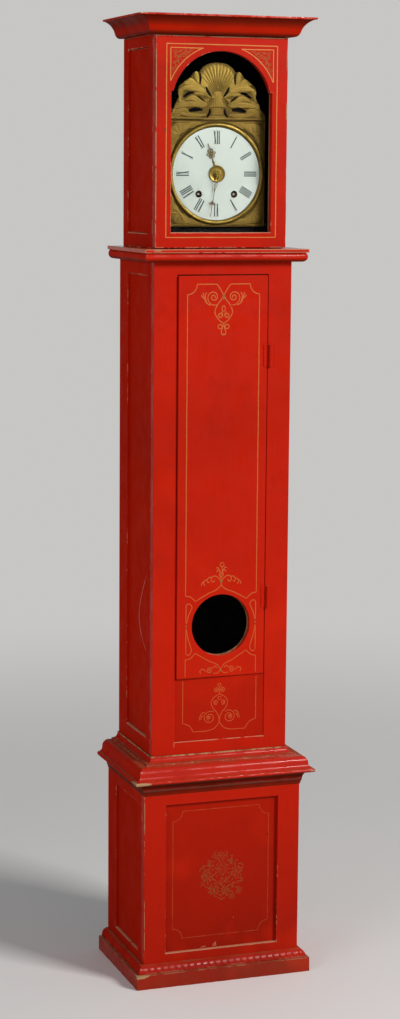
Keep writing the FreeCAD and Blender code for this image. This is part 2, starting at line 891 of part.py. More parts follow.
def movement_frame():
    """Two plates, four pillars, six upright bars, the studs, the cock and the hammer's bush."""
    places = arbor_places()
    y1 = y_bars_back + bar_thick
    bottom = box(-half_cage, half_cage, y_bars, y1, z_cage, z_cage + plate_thick)
    top = box(-half_cage, half_cage, y_bars, y1, z_cage_top - plate_thick, z_cage_top)
    z_bar = z_cage + plate_thick
    z_bar_top = z_cage_top - plate_thick
    for x in (-x_rope, x_rope):
        bottom = cut(bottom, rod_z(x, y_rope, rope_slot / 2, z_cage - overrun, z_bar + overrun))
    pieces = [bottom, top, hammer_bush()]
    for x in (-half_cage, half_cage - pillar):
        for y in (y_bars, y1 - pillar):
            pieces.append(box(x, x + pillar, y, y + pillar, z_bar, z_bar_top))
    bars = {
        "strike": (-x_wind - bar_width / 2, -x_wind + bar_width / 2, ("strike_drum", "pin_wheel", "fly")),
        "centre": (-bar_width / 2, third_offset + bar_width / 2, ("third", "escape", "anchor")),
        "time": (x_wind - bar_width / 2, x_wind + bar_width / 2, ("time_drum", "second")),
    }
    for x0, x1, carried in bars.values():
        for y in (y_bars, y_bars_back):
            bar = box(x0, x1, y, y + bar_thick, z_bar, z_bar_top)
            for name in carried:
                x, z = places[name]
                radius = pivot_radius + pivot_play
                if name == "second":
                    radius = fine_arbor_radius + pivot_play
                if name == "anchor" or "drum" in name and y == y_bars:
                    radius = arbor_radius + pivot_play
                bar = cut(bar, rod_y(x, z, radius, y - overrun, y + bar_thick + overrun))
            pieces.append(bar)
    pieces.append(centre_stud())
    pieces.append(minute_stud(places))
    pieces.append(suspension_cock(places))
    return group(*pieces)


def centre_stud():
    """The fixed stud on the front centre bar that carries the hands' pipes."""
    return rod_y(0, z_dial, stud_radius, y_dial - enamel_dome, y_bars)


def minute_stud(places):
    """The stud and its foot for the intermediate wheel of the motion work."""
    x, z = places["minute_wheel"]
    stud = rod_y(x, z, stud_radius, y_dial + surround_thick + dial_plate_thick + 2 * layer_gap, y_bars)
    y1 = y_bars
    foot = box(x - pillar / 2, -bar_width / 2, y1, y1 + bar_thick, z - pillar / 2, z + pillar / 2)
    return fuse(stud, foot)


def suspension_cock(places):
    """The bracket behind the top plate with the pin on which the pendulum hangs."""
    x, z = places["anchor"]
    y0 = y_bars_back + bar_thick
    y1 = y_pendulum + rod_radius + cock_thick
    half = cock_width / 2
    arm = box(-half, half, y0, y1 + cock_thick, z_cage_top - cock_thick, z_cage_top)
    drop = box(-half, half, y1, y1 + cock_thick, z - half, z_cage_top)
    pin = rod_y(x, z, pivot_radius, y_pendulum - rod_radius, y1)
    return fuse(arm, drop, pin)


def dial_plate():
    """The iron sheet behind the dial, on four feet that stand on the cage."""
    y0 = y_dial + surround_thick
    y1 = y0 + dial_plate_thick
    half = half_cage
    z0 = z_cage
    plate = box(-half, half, y0, y1, z0, z_cage_top)
    holes = ((0, z_dial, hour_pipe_radius), (x_wind, z_wind, winding_hole), (-x_wind, z_wind, winding_hole))
    for x, z, radius in holes:
        plate = cut(plate, rod_y(x, z, radius + layer_gap, y0 - overrun, y1 + overrun))
    feet = []
    for x in (-half_cage + pillar / 2, half_cage - pillar / 2):
        for z in (z_cage + dial_foot_inset, z_cage_top - dial_foot_inset):
            feet.append(rod_y(x, z, dial_foot_radius, y0, y_bars))
    return fuse(plate, *feet)


def brass_surround():
    """The square pressed brass plate round the dial."""
    half = surround_width / 2
    plate = box(-half, half, y_dial, y_dial + surround_thick,
                z_dial - surround_below, z_dial + surround_above)
    return cut(plate, rod_y(0, z_dial, bezel_inner + bezel_thick, y_dial - overrun, y_dial + overrun))


def brass_crest():
    """The pressed brass crest above the plate, with a leafy outline."""
    half = surround_width / 2
    z0 = z_dial + surround_above
    corners = [(half * x, z0 + crest_height * z) for x, z in crest_outline_shares]
    corners += [(-x, z) for x, z in reversed(corners[1:])]
    return slab_y(corners, y_dial + surround_thick - crest_thick, y_dial + surround_thick)


def dial_bezel():
    """The rounded brass ring that holds the enamel dial."""
    middle = (bezel_outer + bezel_inner) / 2
    y0 = y_dial
    points = [
        (bezel_outer, y0), ((middle, y0 - bezel_bulge), (bezel_inner, y0)),
        (bezel_inner, y0 + surround_thick / 2),
        (bezel_inner + bezel_thick, y0 + surround_thick / 2), (bezel_inner + bezel_thick, y0),
        (bezel_outer, y0),
    ]
    return revolved_y(points[:-1], 0, z_dial)


def enamel_dial():
    """The white domed dial with a centre hole and two winding holes."""
    radius = bezel_inner - glass_clearance
    y1 = y_dial + surround_thick
    y0 = y1 - enamel_thick
    front_sag = y0 - enamel_dome
    back_sag = y1 - enamel_dome
    half = radius / 2
    points = [
        (0, front_sag), ((half, y0 - enamel_dome * 3 / 4), (radius, y0)), (radius, y1),
        ((half, y1 - enamel_dome * 3 / 4), (0, back_sag)),
    ]
    disc = revolved_y(points, 0, z_dial)
    centre = rod_y(0, z_dial, hour_pipe_radius + layer_gap, y_dial - overrun, y_dial + overrun)
    holes = [rod_y(x, z_wind, winding_hole, y_dial - overrun, y_dial + overrun) for x in (-x_wind, x_wind)]
    return cut(disc, centre, *holes)


# Hands and motion work

def hour_layer():
    """The Y of the hour hand's back face."""
    return y_dial - enamel_dome - layer_gap


def minute_layer():
    """The Y of the minute hand's back face."""
    return hour_layer() - 2 * hand_thick - layer_gap


def hand(boss_radius, flower_distance, flower_radius, length, y1, bore, boss_thick):
    """A hand that points up, with a round boss, a flower and a fine tip."""
    y0 = y1 - hand_thick
    boss = rod_y(0, z_dial, boss_radius, y1 - boss_thick, y1)
    stem = box(-hand_stem / 2, hand_stem / 2, y0, y1, z_dial, z_dial + flower_distance)
    flower = rod_y(0, z_dial + flower_distance, flower_radius, y0, y1)
    tip = slab_y([(-hand_stem / 2, z_dial + flower_distance), (hand_stem / 2, z_dial + flower_distance),
                  (0, z_dial + length)], y0, y1)
    whole = fuse(boss, stem, flower, tip)
    return cut(whole, rod_y(0, z_dial, bore, y0 - overrun, y1 + overrun))


def hour_hand():
    """The brass hour hand with its round boss."""
    whole = hand(hour_boss_radius, hour_flower_distance, hour_flower_radius, hour_hand_length,
                 hour_layer(), hour_pipe_radius, 2 * hand_thick)
    return clock_turned(whole, 0, z_dial, hour_hand_angle)


def minute_hand():
    """The brass minute hand."""
    whole = hand(minute_boss_radius, minute_flower_distance, minute_flower_radius, minute_hand_length,
                 minute_layer(), cannon_radius, hand_thick)
    return clock_turned(whole, 0, z_dial, minute_hand_angle)


def hand_nut():
    """The nut in front of the minute hand."""
    y1 = minute_layer() - hand_thick
    return rod_y(0, z_dial, nut_radius, y1 - nut_thick, y1)


def motion_layers():
    """The Y of each motion wheel, from the bars forwards."""
    transfer = y_bars - layer_gap
    cannon = transfer - wheel_thick - layer_gap
    hour = cannon - pinion_length - layer_gap
    return transfer, cannon, hour


def cannon_module():
    """The module of the pair from cannon pinion to intermediate wheel."""
    return 2 * motion_distance / (cannon_teeth + intermediate_teeth)


def hour_module():
    """The module of the pair from intermediate pinion to hour wheel."""
    return 2 * motion_distance / (intermediate_pinion_teeth + hour_teeth)


def cannon_arbor():
    """The minute pipe with its driven wheel and its pinion, turning on the centre stud."""
    places = arbor_places()
    transfer, cannon, hour = motion_layers()
    module = 2 * distance(places, "centre", "second") / (2 * transfer_teeth)
    phase = meshed_phase(direction(places, "second", "centre"), 0.0, transfer_teeth, transfer_teeth)
    wheel = gear(places["centre"], transfer_teeth, module, transfer - wheel_thick, transfer, phase)
    pinion = gear(places["centre"], cannon_teeth, cannon_module(), cannon - pinion_length, transfer, 0.0,
                  pinion_tip_share)
    pipe = rod_y(0, z_dial, cannon_radius, minute_layer() - hand_thick, transfer)
    bore = rod_y(0, z_dial, stud_radius + pivot_play, y_dial - enamel_dome - layer_gap, transfer + overrun)
    return cut(fuse(wheel, pinion, pipe), bore)


def minute_wheel():
    """The intermediate wheel and pinion of the motion work."""
    places = arbor_places()
    transfer, cannon, hour = motion_layers()
    angle = direction(places, "centre", "minute_wheel")
    phase = meshed_phase(angle, 0.0, cannon_teeth, intermediate_teeth)
    wheel = gear(places["minute_wheel"], intermediate_teeth, cannon_module(),
                 cannon - wheel_thick, cannon, phase)
    pinion = gear(places["minute_wheel"], intermediate_pinion_teeth, hour_module(),
                  hour - pinion_length, cannon, 0.0, pinion_tip_share)
    x, z = places["minute_wheel"]
    bore = rod_y(x, z, stud_radius + pivot_play, y_dial - overrun, y_bars + overrun)
    return cut(fuse(wheel, pinion), bore)


def hour_wheel():
    """The hour wheel on its pipe."""
    places = arbor_places()
    transfer, cannon, hour = motion_layers()
    angle = direction(places, "minute_wheel", "centre")
    phase = meshed_phase(angle, 0.0, intermediate_pinion_teeth, hour_teeth)
    y0 = hour - wheel_thick - layer_gap
    wheel = gear(places["centre"], hour_teeth, hour_module(), y0, y0 + wheel_thick, phase)
    pipe = rod_y(0, z_dial, hour_pipe_radius, hour_layer() - 2 * hand_thick, y0 + wheel_thick)
    bore = rod_y(0, z_dial, cannon_radius + pipe_play, y_dial - 2 * overrun, y_bars + overrun)
    return cut(fuse(wheel, pipe), bore)


# Going train

def great_module(teeth, pinion_teeth):
    """The module that fits a great wheel and its pinion between their arbors."""
    return 2 * distance(arbor_places(), "time_drum", "second") / (teeth + pinion_teeth)


def great_layer():
    """The Y of the back of both great wheels."""
    return y_drum - layer_gap


def great_wheel(name, pinion_name, teeth, pinion_teeth):
    """A great wheel, loose on its winding arbor in front of the drum."""
    places = arbor_places()
    place = places[name]
    module = great_module(teeth, pinion_teeth)
    y1 = great_layer()
    y0 = y1 - wheel_thick
    radius = teeth * module / 2
    disc = gear(place, teeth, module, y0, y1, direction(places, name, pinion_name))
    disc = crossed(disc, place, radius, y0, y1)
    return cut(disc, rod_y(place[0], place[1], arbor_radius + pivot_play, y0 - overrun, y1 + overrun))


def rope_drum(name):
    """A drum with its flanges, the rope wound on it and the winding square in front."""
    x, z = arbor_places()[name]
    flange = wound_radius - rope_radius
    y1 = y_drum + drum_length
    core = rod_y(x, z, drum_radius, y_drum, y1)
    front = rod_y(x, z, flange, y_drum, y_drum + wheel_thick)
    back = rod_y(x, z, flange, y1 - wheel_thick, y1)
    spindle = rod_y(x, z, arbor_radius, y_dial + surround_thick, y1 + wheel_thick)
    pivot = rod_y(x, z, pivot_radius, y1, y_bars_back + bar_thick)
    square = box(x - square_half, x + square_half, y_dial + surround_thick,
                 y_bars - layer_gap, z - square_half, z + square_half)
    body = fuse(core, front, back, spindle, pivot, square)
    layer = rod_y(x, z, wound_radius, y_drum + wheel_thick, y1 - wheel_thick)
    layer = cut(layer, rod_y(x, z, drum_radius, y_drum, y1))
    return group(body, layer)


def second_wheel():
    """The wheel that turns once an hour: pinion, wheel, and the small wheel in front of the bar."""
    places = arbor_places()
    place = places["second"]
    transfer, cannon, hour = motion_layers()
    wheel_y = y_drum + drum_length + 2 * wheel_thick
    module = great_module(great_teeth, second_pinion_teeth)
    angle = direction(places, "time_drum", "second")
    phase = meshed_phase(angle, angle, great_teeth, second_pinion_teeth)
    pinion = gear(place, second_pinion_teeth, module, great_layer() - 2 * pinion_length,
                  great_layer() + pinion_length, phase, pinion_tip_share)
    radius = second_wheel_teeth * third_module / 2
    wheel = gear(place, second_wheel_teeth, third_module, wheel_y, wheel_y + wheel_thick)
    wheel = crossed(wheel, place, radius, wheel_y, wheel_y + wheel_thick)
    module = 2 * distance(places, "centre", "second") / (2 * transfer_teeth)
    driver = gear(place, transfer_teeth, module, transfer - wheel_thick, transfer)
    driver = crossed(driver, place, transfer_teeth * module / 2, transfer - wheel_thick, transfer)
    body = rod_y(place[0], place[1], fine_arbor_radius, transfer - wheel_thick, y_bars_back + bar_thick)
    return fuse(body, pinion, wheel, driver)


def third_wheel():
    """The third wheel and its pinion."""
    places = arbor_places()
    place = places["third"]
    wheel_y = y_drum + drum_length + 2 * wheel_thick
    angle = direction(places, "second", "third")
    phase = meshed_phase(angle, 0.0, second_wheel_teeth, third_pinion_teeth)
    pinion = gear(place, third_pinion_teeth, third_module, wheel_y - wheel_thick, wheel_y + 2 * wheel_thick,
                  phase, pinion_tip_share)
    y0 = third_layer()
    wheel = gear(place, third_wheel_teeth, escape_module, y0, y0 + wheel_thick)
    wheel = crossed(wheel, place, third_wheel_teeth * escape_module / 2, y0, y0 + wheel_thick)
    body = arbor(place)
    return fuse(body, pinion, wheel)


def third_layer():
    """The Y of the front of the third wheel."""
    return y_drum - 2 * pinion_length


def escape_layer():
    """The Y of the front of the escape wheel."""
    return y_bars_back - 4 * wheel_thick


def escape_wheel():
    """The escape wheel with thirty pointed teeth, and its pinion."""
    places = arbor_places()
    x, z = place = places["escape"]
    angle = direction(places, "third", "escape")
    phase = meshed_phase(angle, 0.0, third_wheel_teeth, escape_pinion_teeth)
    y0 = third_layer()
    pinion = gear(place, escape_pinion_teeth, escape_module, y0 - wheel_thick, y0 + 2 * wheel_thick,
                  phase, pinion_tip_share)
    pitch = 2 * math.pi / escape_teeth
    root = escape_radius * rim_share
    corners = []
    for index in range(escape_teeth):
        for turn_share, reach in ((0.0, escape_radius), (tooth_crown_share, escape_radius), (0.5, root)):
            angle = (index + turn_share) * pitch
            corners.append((x + reach * math.cos(angle), z + reach * math.sin(angle)))
    y0 = escape_layer()
    wheel = slab_y(corners, y0, y0 + wheel_thick)
    wheel = crossed(wheel, place, escape_radius * rim_share, y0, y0 + wheel_thick)
    body = arbor(place)
    return fuse(body, pinion, wheel)


def anchor():
    """The anchor, clear of the teeth at every angle, with its arbor and the crutch behind."""
    places = arbor_places()
    x, z = places["anchor"]
    drop = z - places["escape"][1]
    y0 = escape_layer()
    y1 = y0 + wheel_thick
    inner = escape_radius + pallet_clearance
    outer = inner + 2 * anchor_arm
    body = rod_y(0, places["escape"][1], outer, y0, y1)
    body = cut(body, rod_y(0, places["escape"][1], inner, y0 - overrun, y1 + overrun))
    reach = outer * math.sin(math.pi * pallet_span_share)
    wedge = slab_y([(0, z - drop), (-2 * reach, z - drop + 2 * reach), (2 * reach, z - drop + 2 * reach)],
                   y0 - overrun, y1 + overrun)
    body = body.common(wedge)
    stem = box(-anchor_arm / 2, anchor_arm / 2, y0, y1, places["escape"][1] + inner + anchor_arm, z)
    y_crutch = y_pendulum - rod_radius - layer_gap
    spindle = rod_y(x, z, arbor_radius, y_bars, y_crutch)
    crutch = box(-crutch_width / 2, crutch_width / 2, y_crutch - crutch_thick, y_crutch,
                 z - crutch_length, z)
    return fuse(body, stem, spindle, crutch)


# Pendulum

def pendulum_rod():
    """The rod with the eye on the cock's pin."""
    x, z = arbor_places()["anchor"]
    y = y_pendulum
    z_bob = z - pendulum_length
    eye = rod_y(0, z, eye_radius, y - rod_radius, y + rod_radius)
    rod = rod_z(0, y, rod_radius, z_bob - bob_radius - 2 * rating_nut_height, z)
    bore = rod_y(0, z, pivot_radius + pivot_play, y - overrun, y + overrun)
    return cut(fuse(eye, rod), bore)


def pendulum_bob():
    """The lens-shaped bob on the rod, and the rating nut under it."""
    x, z = arbor_places()["anchor"]
    y = y_pendulum
    z_bob = z - pendulum_length
    half = bob_thick / 2
    edge = bob_rim / 2
    inner = bob_radius / 2
    bulge = edge + (half - edge) * 3 / 4
    points = [(0, y - half), ((inner, y - bulge), (bob_radius, y - edge)), (bob_radius, y + edge),
              ((inner, y + bulge), (0, y + half))]
    bore = rod_z(0, y, rod_radius + pivot_play, z_bob - 2 * bob_radius, z)
    nut_top = z_bob - bob_radius - glass_clearance
    nut = rod_z(0, y, rating_nut_radius, nut_top - rating_nut_height, nut_top)
    return group(cut(revolved_y(points, 0, z_bob), bore), cut(nut, bore))


# Striking train

def pin_wheel():
    """The wheel whose pins lift the hammer, and its pinion."""
    places = arbor_places()
    place = places["pin_wheel"]
    angle = direction(places, "strike_drum", "pin_wheel")
    phase = meshed_phase(angle, angle, strike_great_teeth, pin_pinion_teeth)
    module = great_module(strike_great_teeth, pin_pinion_teeth)
    pinion = gear(place, pin_pinion_teeth, module, great_layer() - 2 * pinion_length,
                  great_layer() + pinion_length, phase, pinion_tip_share)
    wheel_y = y_drum + drum_length + 2 * wheel_thick
    radius = pin_wheel_teeth * fly_module / 2
    wheel = gear(place, pin_wheel_teeth, fly_module, wheel_y, wheel_y + wheel_thick)
    wheel = crossed(wheel, place, radius, wheel_y, wheel_y + wheel_thick)
    body = arbor(place)
    pins = []
    ring = radius * (1 + rim_share) / 2 - pin_radius
    for index in range(pin_count):
        angle = 2 * math.pi * index / pin_count
        pins.append(rod_y(place[0] + ring * math.cos(angle), place[1] + ring * math.sin(angle),
                          pin_radius, wheel_y + wheel_thick / 2, wheel_y + pin_length))
    return fuse(body, pinion, wheel, *pins)


def fly():
    """The air brake: a thin vane on a fast arbor."""
    places = arbor_places()
    x, z = place = places["fly"]
    wheel_y = y_drum + drum_length + 2 * wheel_thick
    angle = direction(places, "pin_wheel", "fly")
    phase = meshed_phase(angle, 0.0, pin_wheel_teeth, fly_pinion_teeth)
    pinion = gear(place, fly_pinion_teeth, fly_module, wheel_y - wheel_thick, wheel_y + 2 * wheel_thick,
                  phase, pinion_tip_share)
    body = arbor(place)
    y1 = y_drum + drum_length - layer_gap
    vane = box(x - fly_length, x + fly_length, y1 - fly_height, y1, z - hand_thick / 2, z + hand_thick / 2)
    return fuse(body, pinion, vane)


def bell():
    """The bell above the cage, upside down like a bowl, and its post."""
    z0 = z_cage_top + bell_lift
    y = bell_y()
    outer = dome(y, z0, bell_radius, bell_height)
    inner = dome(y, z0 - bell_wall, bell_radius - bell_wall, bell_height)
    below = box(-2 * bell_radius, 2 * bell_radius, y - 2 * bell_radius, y + 2 * bell_radius,
                z0 - 2 * bell_height, z0)
    shell = cut(outer, inner, below)
    post = rod_z(0, y, bell_post_radius, z_cage_top, z0 + bell_height - bell_wall)
    return group(shell, post)


def bell_y():
    """How far back the middle of the bell stands."""
    return (y_bars + y_bars_back + bar_thick) / 2


def dome(y, z0, radius, height):
    """A solid half of a flattened ball."""
    points = [FreeCAD.Vector(0, y, z0), FreeCAD.Vector(radius, y, z0)]
    bend = math.sqrt(0.5)
    middle = FreeCAD.Vector(radius * bend, y, z0 + height * bend)
    end = FreeCAD.Vector(0, y, z0 + height)
    edges = [Part.makeLine(points[0], points[1]), Part.Arc(points[1], middle, end).toShape(),
             Part.makeLine(end, points[0])]
    face = Part.Face(Part.Wire(edges))
    return face.revolve(FreeCAD.Vector(0, y, 0), FreeCAD.Vector(0, 0, 1), 360)


def hammer_place():
    """Where the hammer's upright arbor stands on the top plate, square to its blow."""
    return -bell_radius - hammer_rest_gap - hammer_length / 2, bell_y() + cage_depth * hammer_arm_share


def hammer_bush():
    """The bush on the top plate in which the hammer's arbor turns."""
    x, y = hammer_place()
    outside = rod_z(x, y, hammer_arbor_radius + bell_wall, z_cage_top, z_cage_top + bell_lift / 2)
    bore = hammer_arbor_radius + pivot_play
    return cut(outside, rod_z(x, y, bore, z_cage_top - overrun, z_cage_top + bell_lift))


def hammer():
    """The hammer at rest just off the bell's rim, on an upright arbor behind it."""
    x, y = hammer_place()
    z = z_cage_top + bell_lift + hammer_radius / 2
    spindle = rod_z(x, y, hammer_arbor_radius, z_cage_top, z + hammer_radius)
    half = hand_stem / 2
    arm = box(x - half, x + half, bell_y(), y, z - half, z + half)
    start = FreeCAD.Vector(x - hammer_length / 2, bell_y(), z)
    head = Part.makeCylinder(hammer_radius, hammer_length, start, FreeCAD.Vector(1, 0, 0))
    return fuse(spindle, arm, head)


# Weights and ropes

def weight():
    """The right-hand cast iron weight with its hook."""
    z0 = weight_rest_level
    z1 = z0 + weight_height
    body = rod_z(x_rope, y_rope, weight_radius, z0, z1 - weight_shoulder)
    shoulder = Part.makeCone(weight_radius, weight_radius - weight_shoulder, weight_shoulder,
                             FreeCAD.Vector(x_rope, y_rope, z1 - weight_shoulder))
    hook = rod_z(x_rope, y_rope, hook_radius, z1 - weight_shoulder, z1 + hook_height)
    return fuse(body, shoulder, hook)


def rope():
    """The right-hand rope, from the side of its drum straight down to the weight's hook."""
    return rod_z(x_rope, y_rope, rope_radius, weight_rest_level + weight_height + hook_height, z_wind)


def build():
    """Make every node of the clock."""
    trunk_fixed, trunk_moving = trunk_hinges()
    hood_fixed, hood_moving = hood_hinges()
    nodes = {
        "plinth_skirting": plinth_skirting(),
        "ripple_moulding": ripple_moulding(),
        "base_front_frame": base_front_frame(),
        "base_front_panel": base_front_panel(),
        "base_left_side": mirrored(base_side()),
        "base_right_side": base_side(),
        "base_inner_boards": base_inner_boards(),
        "waist_moulding": waist_moulding(),
        "trunk_front_frame": trunk_front_frame(),
        "trunk_lower_panel": trunk_lower_panel(),
        "trunk_left_side": mirrored(trunk_side()),
        "trunk_right_side": trunk_side(),
        "back_boards": back_boards(),
        "mid_moulding": mid_moulding(),
        "trunk_door": trunk_door(),
        "porthole_glass": porthole_glass(),
        "porthole_retainer": porthole_retainer(),
        "trunk_hinge_case_leaves": trunk_fixed,
        "trunk_hinge_door_leaves": trunk_moving,
        "hood_floor_board": hood_floor_board(),
        "hood_left_side": mirrored(hood_side()),
        "hood_right_side": hood_side(),
        "hood_top_board": hood_top_board(),
        "cornice": cornice(),
        "hood_door_frame": hood_door_frame(),
        "hood_door_glass": hood_door_glass(),
        "hood_door_lock": hood_door_lock(),
        "hood_hinge_case_leaves": hood_fixed,
        "hood_hinge_door_leaves": hood_moving,
        "movement_seat": movement_seat(),
        "movement_frame": movement_frame(),
        "dial_plate": dial_plate(),
        "brass_surround": brass_surround(),
        "brass_crest": brass_crest(),
        "dial_bezel": dial_bezel(),
        "enamel_dial": enamel_dial(),
        "hour_hand": hour_hand(),
        "minute_hand": minute_hand(),
        "hand_nut": hand_nut(),
        "cannon_arbor": cannon_arbor(),
        "hour_wheel": hour_wheel(),
        "minute_wheel": minute_wheel(),
        "time_great_wheel": great_wheel("time_drum", "second", great_teeth, second_pinion_teeth),
        "time_drum": rope_drum("time_drum"),
        "second_wheel": second_wheel(),
        "third_wheel": third_wheel(),
        "escape_wheel": escape_wheel(),
        "anchor": anchor(),
        "pendulum_rod": pendulum_rod(),
        "pendulum_bob": pendulum_bob(),
        "strike_great_wheel": great_wheel("strike_drum", "pin_wheel", strike_great_teeth, pin_pinion_teeth),
        "strike_drum": rope_drum("strike_drum"),
        "pin_wheel": pin_wheel(),
        "fly": fly(),
        "bell": bell(),
        "hammer": hammer(),
        "time_weight": weight(),
        "strike_weight": mirrored(weight()),
        "time_rope": rope(),
        "strike_rope": mirrored(rope()),
    }
    return nodes


def main():
    """Write one STEP file for each node."""
    os.makedirs("parts", exist_ok=True)
    nodes = build()
    for name, shape in nodes.items():
        if not shape.isValid():
            raise ValueError(name + " is not a valid shape")
        shape.exportStep("parts/" + name + ".step")
        print(name, len(shape.Solids), "solids,", round(shape.Volume), "mm3")
    print(len(nodes), "nodes")


main()
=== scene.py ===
import json
import math

import bmesh
import bpy
import numpy as np
from bpy.props import FloatProperty, FloatVectorProperty, IntProperty, PointerProperty
from bpy.types import Operator, Panel, PropertyGroup
from mathutils import Matrix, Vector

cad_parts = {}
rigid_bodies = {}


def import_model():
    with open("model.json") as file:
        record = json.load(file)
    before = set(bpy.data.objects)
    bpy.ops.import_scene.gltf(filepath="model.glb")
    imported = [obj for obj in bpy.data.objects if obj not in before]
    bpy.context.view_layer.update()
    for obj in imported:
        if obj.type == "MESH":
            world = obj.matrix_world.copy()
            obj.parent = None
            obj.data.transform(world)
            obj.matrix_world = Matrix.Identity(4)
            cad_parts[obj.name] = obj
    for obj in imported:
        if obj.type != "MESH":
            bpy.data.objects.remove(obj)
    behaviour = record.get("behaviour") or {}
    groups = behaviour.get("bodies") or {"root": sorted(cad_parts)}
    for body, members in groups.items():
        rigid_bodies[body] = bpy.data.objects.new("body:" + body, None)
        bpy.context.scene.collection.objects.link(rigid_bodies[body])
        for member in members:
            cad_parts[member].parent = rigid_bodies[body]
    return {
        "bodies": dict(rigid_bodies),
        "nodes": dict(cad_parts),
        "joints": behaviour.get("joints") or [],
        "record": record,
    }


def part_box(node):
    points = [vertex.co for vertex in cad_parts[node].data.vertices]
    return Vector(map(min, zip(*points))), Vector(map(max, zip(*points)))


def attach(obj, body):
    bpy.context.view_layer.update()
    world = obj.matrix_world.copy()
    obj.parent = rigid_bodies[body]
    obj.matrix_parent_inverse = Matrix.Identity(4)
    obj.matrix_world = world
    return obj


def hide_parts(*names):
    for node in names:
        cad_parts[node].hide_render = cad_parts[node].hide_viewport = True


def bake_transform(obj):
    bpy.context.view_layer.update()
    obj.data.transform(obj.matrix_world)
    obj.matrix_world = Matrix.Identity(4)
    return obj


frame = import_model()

bl_info = {
    "name": "Painted floor clock",
    "version": (1, 0, 0),
    "blender": (4, 5, 0),
    "location": "3D View > Sidebar > Clock",
    "description": "Dresses the packed floor clock with its mouldings, gilt lines, dial brass and finishes",
    "category": "Object",
}

MM = 0.001
TURN = 2 * math.pi
LAYER = 0.06 * MM  # how far paint lies in front of its ground
LIFT = 0.16 * MM  # how much further the middle of a brush stroke stands out
SHARP_EDGE = math.radians(32)  # edges that turn by more are rounded
ARBOR_Z = 1.9413  # height of the two winding squares
ARBOR_X = 45 * MM  # and how far each stands to the side
MINUTE_TRACK = 0.1062  # radius of the ring of minute dots
NUMERAL_FOOT = 71  # radius of the numerals' feet, in millimetres
HOOD_MIDDLE = (0, 2.08)  # a point inside the hood door's opening


def corners(node):
    """The lowest and highest corner of a CAD node, as two arrays in metres."""
    low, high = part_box(node)
    return np.array(low), np.array(high)


BASE = corners("base_front_frame")
BASE_SIDE = corners("base_right_side")
BASE_PANEL = corners("base_front_panel")
TRUNK = corners("trunk_front_frame")
TRUNK_SIDE = corners("trunk_right_side")
LOWER_PANEL = corners("trunk_lower_panel")
HOOD_SIDE = corners("hood_right_side")
HOOD_DOOR = corners("hood_door_frame")
HOOD_GLASS = corners("hood_door_glass")
SURROUND = corners("brass_surround")
CREST = corners("brass_crest")
DIAL = corners("enamel_dial")
WAIST = corners("waist_moulding")
CORNICE = corners("cornice")
ROLL = corners("mid_moulding")
PLINTH = corners("plinth_skirting")
RIPPLE = corners("ripple_moulding")
BACK = WAIST[1][1]
DIAL_Z = (DIAL[0][2] + DIAL[1][2]) / 2


class ClockSizes(PropertyGroup):
    edge: FloatProperty(name="Edge rounding", description="Width of the rubbed edges of the boards",
                        default=1.7 * MM, min=0.2 * MM, max=4 * MM, unit="LENGTH")
    gilt_line: FloatProperty(name="Gilt line", description="Width of the painted gold lines",
                             default=2.3 * MM, min=0.5 * MM, max=6 * MM, unit="LENGTH")
    ripple_pitch: FloatProperty(name="Ripple pitch", description="Length of one wave of the foot moulding",
                                default=17.3 * MM, min=6 * MM, max=60 * MM, unit="LENGTH")
    ripple_swing: FloatProperty(name="Ripple swing", description="Height of the wave of the foot moulding",
                                default=1.5 * MM, min=0, max=6 * MM, unit="LENGTH")
    hand_wave: FloatProperty(name="Hand wave", description="How far the hand-planed mouldings wander",
                             default=0.35 * MM, min=0, max=2 * MM, unit="LENGTH")
    shell_flutes: IntProperty(name="Shell flutes", description="Number of flutes of the crest's shell",
                              default=21, min=5, max=40)
    numeral_height: FloatProperty(name="Numeral height", description="Length of the dial's numerals",
                                  default=31 * MM, min=10 * MM, max=40 * MM, unit="LENGTH")


def colour_property(name, description, default):
    """A colour setting with its default in linear red, green and blue."""
    return FloatVectorProperty(name=name, description=description, default=default,
                               min=0, max=1, size=3, subtype="COLOR")


class ClockColours(PropertyGroup):
    red: colour_property("Red", "The old red oil paint", (0.56, 0.0125, 0.0014))
    brown_red: colour_property("Brown red", "The paint where it is darkest", (0.27, 0.0085, 0.0020))
    primer: colour_property("Primer", "The pale ground that shows on rubbed edges", (0.72, 0.25, 0.16))
    bare_wood: colour_property("Bare wood", "Pine where the paint is off", (0.46, 0.27, 0.13))
    dust: colour_property("Dust", "The brown dust that lies on tops", (0.26, 0.125, 0.06))
    gold: colour_property("Gold line", "The painted gold lines of the trunk", (0.68, 0.165, 0.034))
    bright_gold: colour_property("Bright gold", "The yellower gold lines of the hood", (0.74, 0.26, 0.05))
    # Painted shade: the dark colour of faces that look down, of what lies below a moulding's lip and, mixed half with
    # dust, of inward corners.
    painted_shade: colour_property("Soot", "The dark dirt in corners and on undersides", (0.040, 0.012, 0.005))
    olive: colour_property("Olive gold", "The darker gold of knots and leaves", (0.31, 0.155, 0.028))
    brass: colour_property("Brass", "The pressed gilt brass", (0.165, 0.108, 0.021))
    enamel: colour_property("Enamel", "The white dial", (0.358, 0.386, 0.362))
    numeral: colour_property("Numerals", "The black of the numerals", (0.022, 0.030, 0.030))
    # Painted shade: the near-black of everything inside the case.
    inside: colour_property("Inside", "The black inside of the case", (0.0045, 0.005, 0.005))
    floor: colour_property("Floor", "The plain floor", (0.66, 0.655, 0.64))
    backdrop: colour_property("Backdrop", "The plain background", (0.57, 0.565, 0.55))


def sizes():
    """The panel's sizes."""
    return bpy.context.scene.clock_sizes


def colours():
    """The panel's colours."""
    return bpy.context.scene.clock_colours


# Meshes from whole arrays

